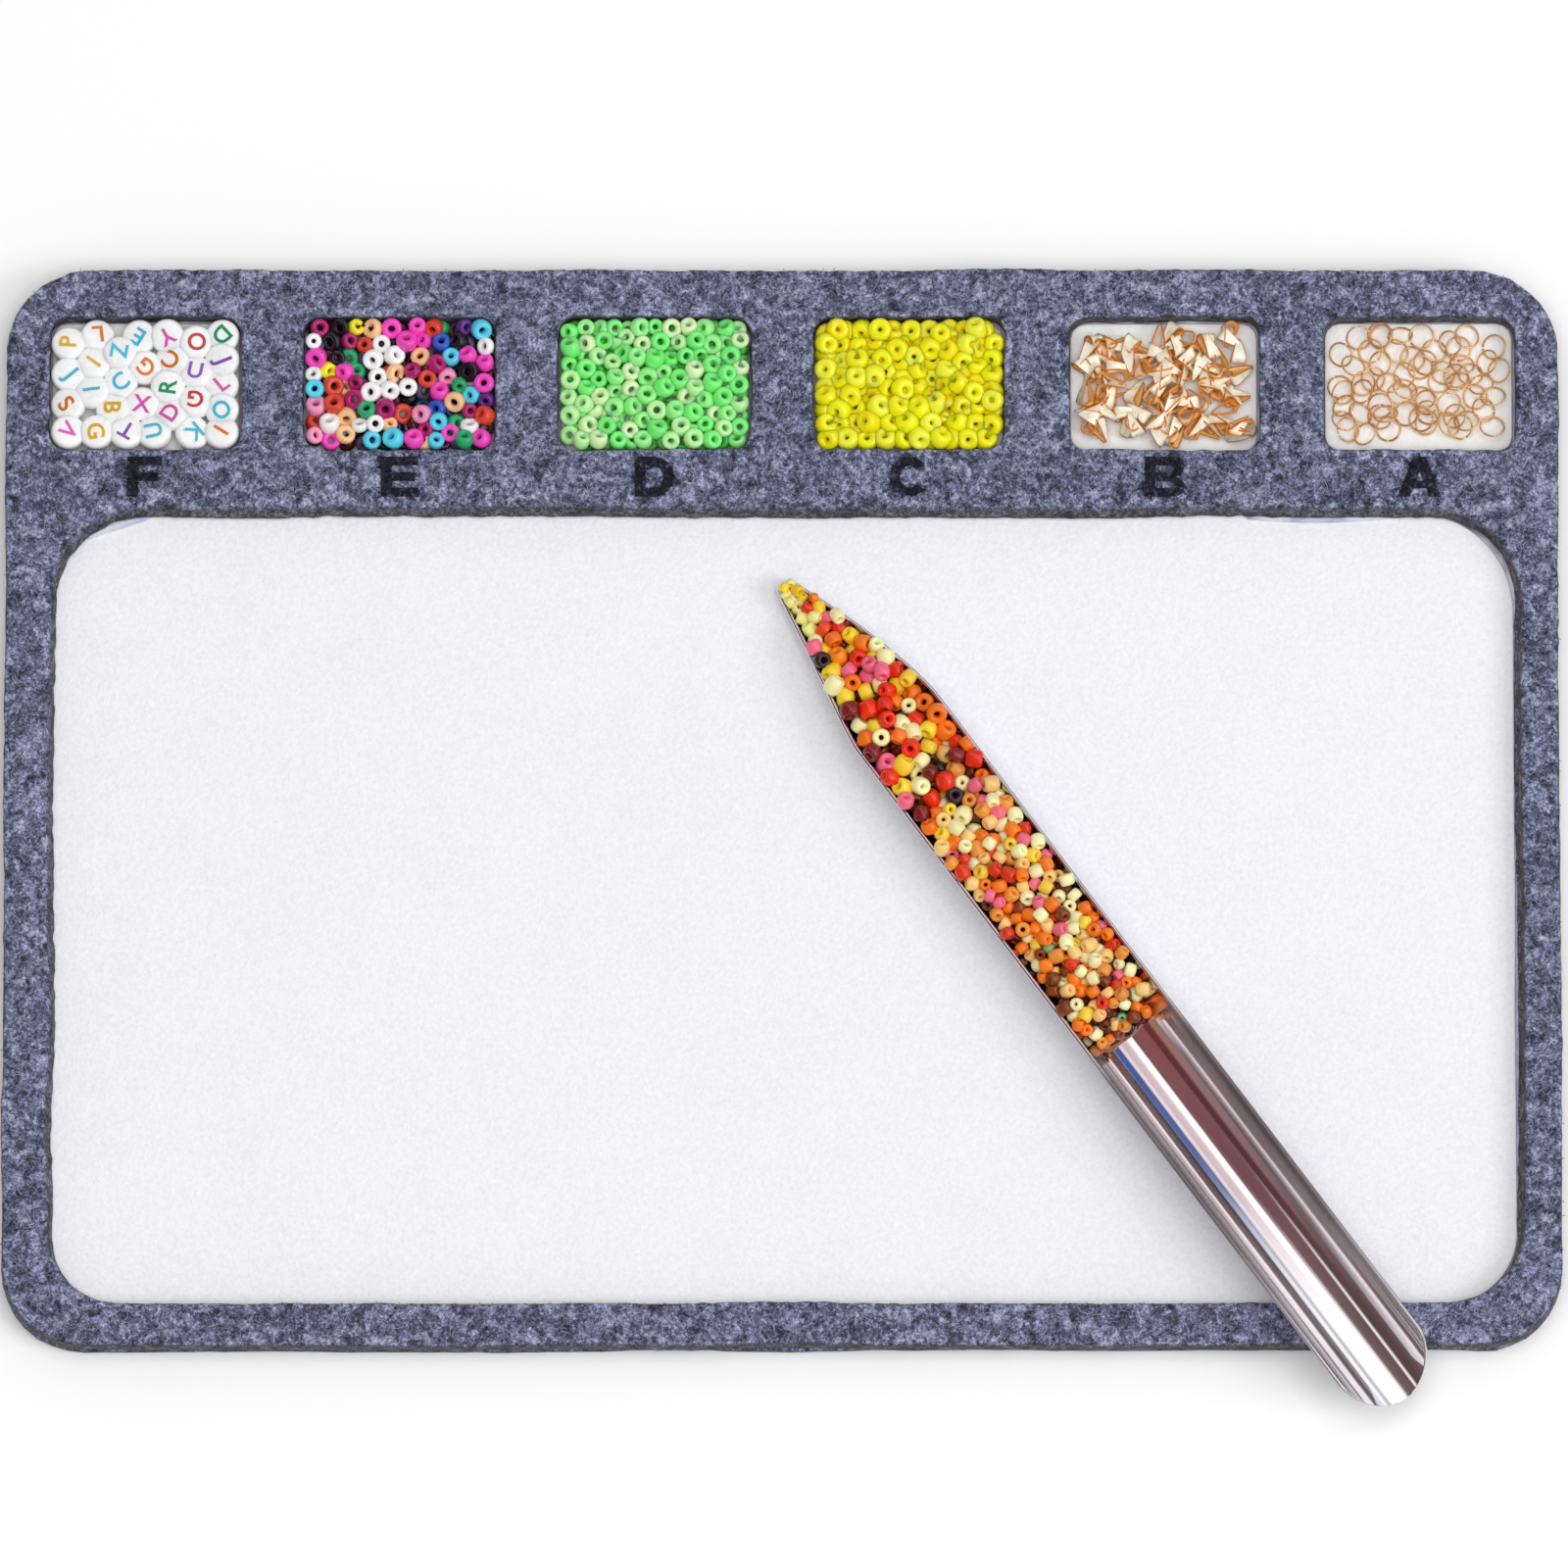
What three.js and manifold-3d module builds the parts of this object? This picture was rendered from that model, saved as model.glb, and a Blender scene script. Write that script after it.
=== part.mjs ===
// A felt bead mat: a grey felt frame with six wells and a white work panel, its beads and its metal scoop.
// Millimetres, +Z up. The origin is the centre of the mat's underside, +X runs along the row of wells,
// and +Y points from the work panel to the wells.
import * as THREE from "three";
import { mergeVertices } from "three/addons/utils/BufferGeometryUtils.js";
import Module from "manifold-3d";

const wasm = await Module();
wasm.setup();

// Mat layers
const MAT_WIDTH = 320;
const MAT_DEPTH = 226;
const MAT_CORNER = 17;
const BASE_THICKNESS = 2;
const FILM_THICKNESS = 0.2;
const FILM_INSET = 0.6;
const FRAME_THICKNESS = 6;
const PANEL_THICKNESS = 1.2;
const INSERT_GAP = 0.4;

// Frame openings
const RIM = 8.8;
const WELL_MARGIN = 10;
const WELL_WIDTH = 39.4;
const WELL_DEPTH = 28;
const WELL_CORNER = 3.6;
const LABEL_BAND = 11.8;
const WINDOW_TOP_CORNER = 19;
const WINDOW_BOTTOM_CORNER = 15.5;
const PANEL_TOP_CORNER = 21;

// Index letters, pressed on as thin film
const LETTER_HEIGHT = 8.4;
const LETTER_STEM = 2.2;
const LETTER_BAR = 1.8;
const LETTER_FILM = 0.3;
const LETTER_APEX = 2.6;
const LETTER_FOOT = 2.4;
const LETTER_CROSSBAR = 1.5;
const LETTER_SHORT_BAR_INSET = 0.7;
const LETTER_GAPE = THREE.MathUtils.degToRad(41);

// Scoop, a gutter of polished sheet with a narrow spout and a rounded tail
const SCOOP_LENGTH = 214;
const SCOOP_WIDTH = 20.8;
const SCOOP_WALL = 0.8;
const SCOOP_RIM_ANGLE = THREE.MathUtils.degToRad(80);
const SPOUT_LENGTH = 38.7;
const SPOUT_WIDTH = 3.6;
const TAIL_LENGTH = 9;
const TAIL_TIP_WIDTH = 4;
const SCOOP_HEADING = THREE.MathUtils.degToRad(53.6);
const SCOOP_OVERHANG = 25.4;
const SCOOP_SIDE_OFFSET = 38.8;
const REST_GAP = 0.3;

// Beads and findings that the wells and the scoop hold
const FILL_GAP = 0.5;
const SEED_BEAD = 4;
const SMALL_SEED_BEAD = 3.6;
const LARGE_SEED_BEAD = 4.8;
const BEAD_LENGTH_SHARE = 0.72;
const BEAD_RIM_SHARE = 0.6;
const BEAD_DIMPLE_SHARE = 0.6;
const BEAD_SPACING_SHARE = 1.08;
const BEAD_SHIFT_SHARE = 0.15;
const BEAD_LEAN = 1;
const FILL_BED = 2.8;
const LETTER_BEAD = 7;
const LETTER_BEAD_THICKNESS = 3.4;
const LETTER_BEAD_BED = 1.4;
const LETTER_BEAD_LEAN = 0.3;
const RING_DIAMETER = 5.6;
const RING_WIRE = 0.8;
const FINDING_SIZE = 6.6;
const FINDING_STRIP = 0.9;
const FINDING_HEIGHT = 1.8;
const FINDING_SPIN = 0.4;
const FINDING_SPACING_SHARE = 0.86;
const LOAD_START = 5;
const LOAD_END = 119;
const LOAD_SLOPE = 9;
const LOAD_SPACING_SHARE = 1.19;
const LOAD_ANGLE = THREE.MathUtils.degToRad(68);
const LOAD_GAP = 0.3;

// Facets of round shapes, and how near points count as one
const CORNER_STEPS = 8;
const WELL_CORNER_STEPS = 3;
const LETTER_STEPS = 4;
const GUTTER_STEPS = 12;
const TAIL_STEPS = 5;
const SPOUT_STEPS = 3;
const BEAD_SIDES = 6;
const COIN_SIDES = 12;
const RING_STEPS = 8;
const WIRE_SIDES = 3;
const SAME_POINT = 1e-4;

// Levels and places that follow from the sizes above
const filmBottom = BASE_THICKNESS;
const filmTop = filmBottom + FILM_THICKNESS;
const panelTop = filmTop + PANEL_THICKNESS;
const frameTop = filmTop + FRAME_THICKNESS;
const wellTopY = MAT_DEPTH / 2 - WELL_MARGIN;
const wellBottomY = wellTopY - WELL_DEPTH;
const windowBox = {
  left: RIM - MAT_WIDTH / 2,
  right: MAT_WIDTH / 2 - RIM,
  bottom: RIM - MAT_DEPTH / 2,
  top: wellBottomY - LABEL_BAND,
};
const labels = ["f", "e", "d", "c", "b", "a"];
const wellPitch = (windowBox.right - windowBox.left - WELL_WIDTH) / (labels.length - 1);
const wells = labels.map((label, i) => {
  const left = windowBox.left + i * wellPitch;
  return { label, left, right: left + WELL_WIDTH, bottom: wellBottomY, top: wellTopY };
});

// Looks, one per kind of material
const finish = (color, roughness, metalness = 0) => ({ color, roughness, metalness });
const FELT = finish(0x676b83, 0.95);
const FILM = finish(0xbab7cd, 0.35);
const VELOUR = finish(0xf1f1f7, 0.9);
const LETTER_BLACK = finish(0x191a20, 0.85);
const STEEL = finish(0xcfcdd2, 0.12, 1);
const GOLD = finish(0xb88244, 0.3, 1);
const WHITE_BEAD = finish(0xf4f1f0, 0.3);
const MIXED_BEAD = finish(0xa8558f, 0.3);
const GREEN_BEAD = finish(0x79dd76, 0.3);
const YELLOW_BEAD = finish(0xf6e81c, 0.3);
const WARM_BEAD = finish(0xe9a04a, 0.3);

const mat = new THREE.Group();

// Adds one named piece to its group and gives the mesh back.
function addPiece(group, name, geometry, look) {
  const mesh = new THREE.Mesh(geometry, new THREE.MeshStandardMaterial(look));
  mesh.name = name;
  group.add(mesh);
  return mesh;
}

// Solids for joining

function solidOf(geometry) {
  const bare = geometry.clone();
  bare.deleteAttribute("normal");
  bare.deleteAttribute("uv");
  const merged = mergeVertices(bare, SAME_POINT);
  return new wasm.Manifold(
    new wasm.Mesh({
      numProp: 3,
      vertProperties: new Float32Array(merged.attributes.position.array),
      triVerts: new Uint32Array(merged.index.array),
    }),
  );
}

function joined(geometries) {
  const whole = geometries.map(solidOf).reduce((sum, next) => sum.add(next));
  const mesh = whole.getMesh();
  const geometry = new THREE.BufferGeometry();
  geometry.setAttribute("position", new THREE.BufferAttribute(mesh.vertProperties, 3));
  geometry.setIndex(new THREE.BufferAttribute(mesh.triVerts, 1));
  return geometry;
}

// Flat outlines

// Points of a box with rounded corners, anticlockwise from the bottom right.
function roundedBox(box, steps, bottomRadius, topRadius = bottomRadius) {
  const centres = [
    [box.right - bottomRadius, box.bottom + bottomRadius, bottomRadius],
    [box.right - topRadius, box.top - topRadius, topRadius],
    [box.left + topRadius, box.top - topRadius, topRadius],
    [box.left + bottomRadius, box.bottom + bottomRadius, bottomRadius],
  ];
  return centres.flatMap(([x, y, radius], corner) =>
    Array.from({ length: steps + 1 }, (_, k) => {
      const turn = ((corner - 1 + k / steps) * Math.PI) / 2;
      return new THREE.Vector2(x + radius * Math.cos(turn), y + radius * Math.sin(turn));
    }),
  );
}

function insetBox(box, gap) {
  return { left: box.left + gap, right: box.right - gap, bottom: box.bottom + gap, top: box.top - gap };
}

function slab(shape, thickness) {
  return new THREE.ExtrudeGeometry(shape, {
    depth: thickness,
    bevelEnabled: false,
    curveSegments: LETTER_STEPS,
  });
}

const matBox = { left: -MAT_WIDTH / 2, right: MAT_WIDTH / 2, bottom: -MAT_DEPTH / 2, top: MAT_DEPTH / 2 };

// Layers of the mat

function addBase() {
  const outline = new THREE.Shape(roundedBox(matBox, CORNER_STEPS, MAT_CORNER));
  addPiece(mat, "base_felt", slab(outline, BASE_THICKNESS), FELT);
}

function addFilm() {
  const points = roundedBox(insetBox(matBox, FILM_INSET), CORNER_STEPS, MAT_CORNER - FILM_INSET);
  const film = addPiece(mat, "adhesive_film", slab(new THREE.Shape(points), FILM_THICKNESS), FILM);
  film.position.z = filmBottom;
}

function addFrame() {
  const outline = new THREE.Shape(roundedBox(matBox, CORNER_STEPS, MAT_CORNER));
  const opening = roundedBox(windowBox, CORNER_STEPS, WINDOW_BOTTOM_CORNER, WINDOW_TOP_CORNER);
  const pockets = wells.map((well) => roundedBox(well, WELL_CORNER_STEPS, WELL_CORNER));
  outline.holes = [opening, ...pockets].map((points) => new THREE.Path(points));
  const frame = addPiece(mat, "felt_frame", slab(outline, FRAME_THICKNESS), FELT);
  frame.position.z = filmTop;
}

// The panel's top corners are rounder than the window's, so a sliver of the film shows there.
function addPanel() {
  const bottomCorner = WINDOW_BOTTOM_CORNER - INSERT_GAP;
  const points = roundedBox(insetBox(windowBox, INSERT_GAP), CORNER_STEPS, bottomCorner, PANEL_TOP_CORNER);
  const panel = addPiece(mat, "work_panel", slab(new THREE.Shape(points), PANEL_THICKNESS), VELOUR);
  panel.position.z = filmTop;
}

function addWellPads() {
  for (const well of wells) {
    const points = roundedBox(insetBox(well, INSERT_GAP), WELL_CORNER_STEPS, WELL_CORNER - INSERT_GAP);
    const outline = new THREE.Shape(points);
    const pad = addPiece(mat, "well_pad_" + well.label, slab(outline, PANEL_THICKNESS), VELOUR);
    pad.position.z = filmTop;
  }
}

// Index letters, drawn from their lower left corner

const polygon = (points) => new THREE.Shape(points.map(([x, y]) => new THREE.Vector2(x, y)));
const midBar = (LETTER_HEIGHT - LETTER_BAR) / 2;

function letterA(width) {
  const lean = (width - LETTER_APEX) / 2 / LETTER_HEIGHT;
  const barLow = LETTER_BAR;
  const barHigh = barLow + LETTER_CROSSBAR;
  const inner = (y) => LETTER_FOOT + lean * y;
  const shape = polygon([
    [0, 0],
    [LETTER_FOOT, 0],
    [inner(barLow), barLow],
    [width - inner(barLow), barLow],
    [width - LETTER_FOOT, 0],
    [width, 0],
    [(width + LETTER_APEX) / 2, LETTER_HEIGHT],
    [(width - LETTER_APEX) / 2, LETTER_HEIGHT],
  ]);
  const peak = (width / 2 - LETTER_FOOT) / lean;
  const counterLeft = inner(barHigh);
  shape.holes.push(polygon([[counterLeft, barHigh], [width - counterLeft, barHigh], [width / 2, peak]]));
  return shape;
}

// One rounded bowl of a B or a D between two heights, with its counter.
function drawBowl(path, left, right, low, high) {
  const radius = (high - low) / 2;
  const reach = Math.min(radius, right - left);
  path.moveTo(left, low);
  path.lineTo(right - reach, low);
  path.absellipse(right - reach, low + radius, reach, radius, -Math.PI / 2, Math.PI / 2);
  path.lineTo(left, high);
  path.closePath();
  return path;
}

function letterB(width) {
  const waist = midBar + LETTER_BAR / 2;
  const radius = waist / 2;
  const shape = new THREE.Shape();
  shape.moveTo(0, 0);
  shape.lineTo(width - radius, 0);
  shape.absarc(width - radius, radius, radius, -Math.PI / 2, Math.PI / 2);
  shape.absarc(width - radius, LETTER_HEIGHT - radius, radius, -Math.PI / 2, Math.PI / 2);
  shape.lineTo(0, LETTER_HEIGHT);
  const counter = (low, high) => drawBowl(new THREE.Path(), LETTER_STEM, width - LETTER_STEM, low, high);
  const half = LETTER_BAR / 2;
  shape.holes.push(counter(LETTER_BAR, waist - half));
  shape.holes.push(counter(waist + half, LETTER_HEIGHT - LETTER_BAR));
  return shape;
}

function letterC(width) {
  const [middleX, middleY] = [width / 2, LETTER_HEIGHT / 2];
  const shape = new THREE.Shape();
  shape.absellipse(middleX, middleY, middleX, middleY, LETTER_GAPE, 2 * Math.PI - LETTER_GAPE);
  const [innerX, innerY] = [middleX - LETTER_STEM, middleY - LETTER_BAR];
  shape.absellipse(middleX, middleY, innerX, innerY, 2 * Math.PI - LETTER_GAPE, LETTER_GAPE, true);
  return shape;
}

function letterD(width) {
  const shape = drawBowl(new THREE.Shape(), 0, width, 0, LETTER_HEIGHT);
  const counterTop = LETTER_HEIGHT - LETTER_BAR;
  shape.holes.push(drawBowl(new THREE.Path(), LETTER_STEM, width - LETTER_STEM, LETTER_BAR, counterTop));
  return shape;
}

function letterF(width) {
  const shortBar = width - LETTER_SHORT_BAR_INSET;
  return polygon([
    [0, 0],
    [LETTER_STEM, 0],
    [LETTER_STEM, midBar],
    [shortBar, midBar],
    [shortBar, midBar + LETTER_BAR],
    [LETTER_STEM, midBar + LETTER_BAR],
    [LETTER_STEM, LETTER_HEIGHT - LETTER_BAR],
    [width, LETTER_HEIGHT - LETTER_BAR],
    [width, LETTER_HEIGHT],
    [0, LETTER_HEIGHT],
  ]);
}

function letterE(width) {
  const shortBar = width - LETTER_SHORT_BAR_INSET;
  return polygon([
    [0, 0],
    [width, 0],
    [width, LETTER_BAR],
    [LETTER_STEM, LETTER_BAR],
    [LETTER_STEM, midBar],
    [shortBar, midBar],
    [shortBar, midBar + LETTER_BAR],
    [LETTER_STEM, midBar + LETTER_BAR],
    [LETTER_STEM, LETTER_HEIGHT - LETTER_BAR],
    [width, LETTER_HEIGHT - LETTER_BAR],
    [width, LETTER_HEIGHT],
    [0, LETTER_HEIGHT],
  ]);
}

const glyphs = {
  a: { draw: letterA, widthShare: 1.06 },
  b: { draw: letterB, widthShare: 0.97 },
  c: { draw: letterC, widthShare: 1 },
  d: { draw: letterD, widthShare: 0.97 },
  e: { draw: letterE, widthShare: 0.92 },
  f: { draw: letterF, widthShare: 0.84 },
};

function addLetters() {
  const lowY = wellBottomY - (LABEL_BAND + LETTER_HEIGHT) / 2;
  for (const well of wells) {
    const { draw, widthShare } = glyphs[well.label];
    const width = LETTER_HEIGHT * widthShare;
    const letter = addPiece(mat, "letter_" + well.label, slab(draw(width), LETTER_FILM), LETTER_BLACK);
    letter.position.set((well.left + well.right - width) / 2, lowY, frameTop);
  }
}

// Beads, each with its hole along +Z

function seedBead(diameter) {
  const radius = diameter / 2;
  const half = (diameter * BEAD_LENGTH_SHARE) / 2;
  const profile = [
    [0, -half],
    [radius, 0],
    [radius * BEAD_RIM_SHARE, half],
    [0, half * BEAD_DIMPLE_SHARE],
  ].map(([r, z]) => new THREE.Vector2(r, z));
  return new THREE.LatheGeometry(profile, BEAD_SIDES).rotateX(Math.PI / 2);
}

function letterBead() {
  const radius = LETTER_BEAD / 2;
  return new THREE.CylinderGeometry(radius, radius, LETTER_BEAD_THICKNESS, COIN_SIDES).rotateX(Math.PI / 2);
}

function jumpRing() {
  const wireRadius = RING_WIRE / 2;
  return new THREE.TorusGeometry(RING_DIAMETER / 2 - wireRadius, wireRadius, WIRE_SIDES, RING_STEPS);
}

// A strip folded round into a triangle that points along +Y, standing on its edge.
function foldedFinding() {
  const corner = (radius) => [0, 1, 2].map((k) => {
    const turn = Math.PI / 2 + (k * 2 * Math.PI) / 3;
    return [radius * Math.cos(turn), radius * Math.sin(turn)];
  });
  const outer = FINDING_SIZE / Math.sqrt(3);
  const shape = polygon(corner(outer));
  shape.holes.push(polygon(corner(outer - 2 * FINDING_STRIP)));
  return slab(shape, FINDING_HEIGHT).translate(0, 0, -FINDING_HEIGHT / 2);
}

// A steady, scattered number from -0.5 to 0.5 for a place in a row and column.
function scatter(row, column, salt) {
  const wave = Math.sin(row * 12.9898 + column * 78.233 + salt * 37.719) * 43758.5453;
  return wave - Math.floor(wave) - 0.5;
}

// Copies of a bead in staggered rows over a box, each spun, leant and shifted a little.
function scatteredCopies(makeBead, box, spacing, level, { spin, lean, shift }) {
  const rowGap = (spacing * Math.sqrt(3)) / 2;
  const rows = Math.max(1, Math.floor((box.top - box.bottom) / rowGap) + 1);
  const columns = Math.max(1, Math.floor((box.right - box.left) / spacing) + 1);
  const copies = [];
  for (let row = 0; row < rows; row++) {
    const inRow = row % 2 && columns > 1 ? columns - 1 : columns;
    for (let column = 0; column < inRow; column++) {
      const x = (box.left + box.right) / 2 + (column - (inRow - 1) / 2) * spacing;
      const y = (box.bottom + box.top) / 2 + (row - (rows - 1) / 2) * rowGap;
      const bead = makeBead();
      bead.rotateZ(scatter(row, column, 1) * spin);
      bead.rotateX(scatter(row, column, 2) * lean);
      bead.rotateY(scatter(row, column, 3) * lean);
      bead.translate(x + scatter(row, column, 4) * shift, y + scatter(row, column, 5) * shift, level);
      copies.push(bead);
    }
  }
  return copies;
}

// What each well holds, from left to right. Loose pieces lie joined, as one solid for each well.

// Beads at a level over a bed that stands for the layers below them.
function beadFill(well, makeBead, size, bed, lean, level = bed) {
  const bedBox = insetBox(well, INSERT_GAP + FILL_GAP);
  const bedCorner = WELL_CORNER - INSERT_GAP - FILL_GAP;
  const bedShape = new THREE.Shape(roundedBox(bedBox, WELL_CORNER_STEPS, bedCorner));
  const shift = size * BEAD_SHIFT_SHARE;
  const beadBox = insetBox(bedBox, size / 2 + shift / 2);
  const spacing = size * BEAD_SPACING_SHARE;
  const beads = scatteredCopies(makeBead, beadBox, spacing, level, { spin: Math.PI, lean, shift });
  return joined([slab(bedShape, bed), ...beads]);
}

// Open findings that lie across each other on the pad.
function looseFill(well, makePiece, size, height, spin) {
  const box = insetBox(well, INSERT_GAP + FILL_GAP + size / 2);
  const pieces = scatteredCopies(makePiece, box, size * FINDING_SPACING_SHARE, height / 2, {
    spin,
    lean: 0,
    shift: 0,
  });
  return joined(pieces);
}

const fills = {
  f: { name: "letter_beads", look: WHITE_BEAD },
  e: { name: "mixed_beads", look: MIXED_BEAD },
  d: { name: "green_beads", look: GREEN_BEAD },
  c: { name: "yellow_beads", look: YELLOW_BEAD },
  b: { name: "folded_findings", look: GOLD },
  a: { name: "jump_rings", look: GOLD },
};
fills.f.make = (well) => {
  const level = LETTER_BEAD_THICKNESS / 2 + LETTER_BEAD * Math.sin(LETTER_BEAD_LEAN / 2);
  return beadFill(well, letterBead, LETTER_BEAD, LETTER_BEAD_BED, LETTER_BEAD_LEAN, level);
};
const seedFill = (size) => (well) => beadFill(well, () => seedBead(size), size, FILL_BED, BEAD_LEAN);
fills.e.make = seedFill(LARGE_SEED_BEAD);
fills.d.make = seedFill(SMALL_SEED_BEAD);
fills.c.make = seedFill(SEED_BEAD);
fills.b.make = (well) => looseFill(well, foldedFinding, FINDING_SIZE, FINDING_HEIGHT, FINDING_SPIN);
fills.a.make = (well) => looseFill(well, jumpRing, RING_DIAMETER, RING_WIRE, 0);

function addFills() {
  for (const well of wells) {
    const { name, look, make } = fills[well.label];
    const fill = addPiece(mat, name, make(well), look);
    fill.position.z = panelTop;
  }
}

// Scoop, in its own frame: the tip at the origin, the gutter along +X, its lowest line at z = 0

const bodyRadius = SCOOP_WIDTH / 2 / Math.sin(SCOOP_RIM_ANGLE);
const spoutRadius = SPOUT_WIDTH / 2 / Math.sin(SCOOP_RIM_ANGLE);

function scoopRadius(along) {
  return THREE.MathUtils.lerp(spoutRadius, bodyRadius, Math.min(1, along / SPOUT_LENGTH));
}

// The rim follows a half ellipse in plan at the tail.
function scoopRimAngle(along) {
  const share = Math.max(0, (along - SCOOP_LENGTH + TAIL_LENGTH) / TAIL_LENGTH);
  const halfWidth = (SCOOP_WIDTH / 2) * Math.sqrt(Math.max(0, 1 - share * share));
  return Math.asin(Math.max(halfWidth, TAIL_TIP_WIDTH / 2) / bodyRadius);
}

// One cross-section's points on an arc about the gutter's centre line, from rim to rim.
function arcPoints(along, centreZ, radius, angle, steps) {
  return Array.from({ length: steps + 1 }, (_, k) => {
    const turn = -angle + (2 * angle * k) / steps;
    return [along, radius * Math.sin(turn), centreZ - radius * Math.cos(turn)];
  });
}

// A closed solid through rings of as many points each, capped by fans between its first and last half.
function loft(rings) {
  const count = rings[0].length;
  const faces = [];
  for (let i = 0; i + 1 < rings.length; i++) {
    for (let k = 0; k < count; k++) {
      const next = (k + 1) % count;
      const [a, b, c, d] = [i * count + k, i * count + next, (i + 1) * count + next, (i + 1) * count + k];
      faces.push(a, b, c, a, c, d);
    }
  }
  const last = (rings.length - 1) * count;
  for (let k = 0; k + 1 < count / 2; k++) {
    const [a, b, c, d] = [k, k + 1, count - 2 - k, count - 1 - k];
    faces.push(a, c, b, a, d, c);
    faces.push(last + a, last + b, last + c, last + a, last + c, last + d);
  }
  const geometry = new THREE.BufferGeometry();
  geometry.setAttribute("position", new THREE.Float32BufferAttribute(rings.flat(2), 3));
  geometry.setIndex(faces);
  return geometry;
}

function scoopStations() {
  const spout = Array.from({ length: SPOUT_STEPS }, (_, k) => (SPOUT_LENGTH * k) / SPOUT_STEPS);
  const tailStart = SCOOP_LENGTH - TAIL_LENGTH;
  const tail = Array.from({ length: TAIL_STEPS + 1 }, (_, k) => {
    return tailStart + TAIL_LENGTH * Math.sin((k / TAIL_STEPS) * (Math.PI / 2));
  });
  return [...spout, SPOUT_LENGTH, (SPOUT_LENGTH + tailStart) / 2, ...tail];
}

function scoopGeometry() {
  const rings = scoopStations().map((along) => {
    const radius = scoopRadius(along);
    const angle = along > SPOUT_LENGTH ? scoopRimAngle(along) : SCOOP_RIM_ANGLE;
    const outer = arcPoints(along, radius, radius, angle, GUTTER_STEPS);
    const inner = arcPoints(along, radius, radius - SCOOP_WALL, angle, GUTTER_STEPS);
    return [...outer, ...inner.reverse()];
  });
  return loft(rings);
}

// The beads in the scoop: a bed with a flat top that thins out at its rear end, and beads over it.
function loadGeometry() {
  const loadRadius = (along) => scoopRadius(along) - SCOOP_WALL - LOAD_GAP;
  const fullEnd = LOAD_END - LOAD_SLOPE;
  const stations = [LOAD_START, SPOUT_LENGTH, fullEnd, LOAD_END];
  const endAngle = LOAD_ANGLE / 2;
  const bed = loft(stations.map((along) => {
    const angle = along > fullEnd ? endAngle : LOAD_ANGLE;
    return arcPoints(along, scoopRadius(along), loadRadius(along), angle, GUTTER_STEPS - 1);
  }));
  const beads = [];
  const spacing = SEED_BEAD * LOAD_SPACING_SHARE;
  const radius = SEED_BEAD / 2;
  for (let row = 0, along = LOAD_START + 2 * spacing; along < fullEnd; row++, along += spacing) {
    const halfWidth = loadRadius(along) * Math.sin(LOAD_ANGLE) - radius;
    const level = scoopRadius(along) - loadRadius(along) * Math.cos(LOAD_ANGLE);
    const across = Math.max(1, Math.floor((2 * halfWidth) / spacing) + (row % 2));
    for (let column = 0; column < across; column++) {
      const side = across > 1 ? (column / (across - 1) - 0.5) * 2 * halfWidth : 0;
      const bead = seedBead(SEED_BEAD);
      bead.rotateX(scatter(row, column, 6) * BEAD_LEAN);
      bead.rotateY(scatter(row, column, 7) * BEAD_LEAN);
      bead.translate(along + scatter(row, column, 8) * SEED_BEAD * BEAD_SHIFT_SHARE, side, level);
      beads.push(bead);
    }
  }
  return joined([bed, ...beads]);
}

// The tip rests on the panel and the gutter's underside on the inner edge of the bottom rim.
function addScoop() {
  const rest = SCOOP_LENGTH - SCOOP_OVERHANG;
  const pitch = Math.asin((frameTop - panelTop) / rest);
  const run = rest * Math.cos(pitch);
  const scoop = new THREE.Group();
  scoop.position.set(
    windowBox.right - SCOOP_SIDE_OFFSET - run * Math.cos(SCOOP_HEADING),
    windowBox.bottom + run * Math.sin(SCOOP_HEADING),
    panelTop + REST_GAP,
  );
  scoop.rotation.order = "ZYX";
  scoop.rotation.set(0, -pitch, -SCOOP_HEADING);
  addPiece(scoop, "scoop", scoopGeometry(), STEEL);
  addPiece(scoop, "scoop_beads", loadGeometry(), WARM_BEAD);
  mat.add(scoop);
}

addBase();
addFilm();
addFrame();
addPanel();
addWellPads();
addLetters();
addFills();
addScoop();

export default mat;
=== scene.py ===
"""Looks of the felt bead mat: felt layers, white velour, loose beads and findings, and a polished scoop.

Sizes are in millimetres until a mesh is made, and the axes are the model's own.
"""

import math

import bpy
import numpy as np
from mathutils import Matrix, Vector
from mathutils.geometry import delaunay_2d_cdt


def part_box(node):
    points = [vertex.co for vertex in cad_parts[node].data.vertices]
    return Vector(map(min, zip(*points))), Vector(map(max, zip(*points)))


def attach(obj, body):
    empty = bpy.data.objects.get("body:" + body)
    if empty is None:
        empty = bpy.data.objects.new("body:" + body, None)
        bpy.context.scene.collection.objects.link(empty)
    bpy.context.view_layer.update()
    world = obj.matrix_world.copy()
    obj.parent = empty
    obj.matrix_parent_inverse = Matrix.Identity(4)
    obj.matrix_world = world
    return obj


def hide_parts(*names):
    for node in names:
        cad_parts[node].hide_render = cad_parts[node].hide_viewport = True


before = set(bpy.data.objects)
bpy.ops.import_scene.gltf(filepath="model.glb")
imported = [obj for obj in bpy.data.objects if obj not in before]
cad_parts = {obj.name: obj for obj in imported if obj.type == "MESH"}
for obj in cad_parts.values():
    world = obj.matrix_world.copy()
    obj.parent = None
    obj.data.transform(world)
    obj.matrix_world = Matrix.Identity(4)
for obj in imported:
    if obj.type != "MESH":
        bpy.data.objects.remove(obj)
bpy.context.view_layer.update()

MM = 0.001
TINY = 1e-9
FULL_TURN = 2 * math.pi
WHITE = (1, 1, 1, 1)
WELL_LABELS = "fedcba"

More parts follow.
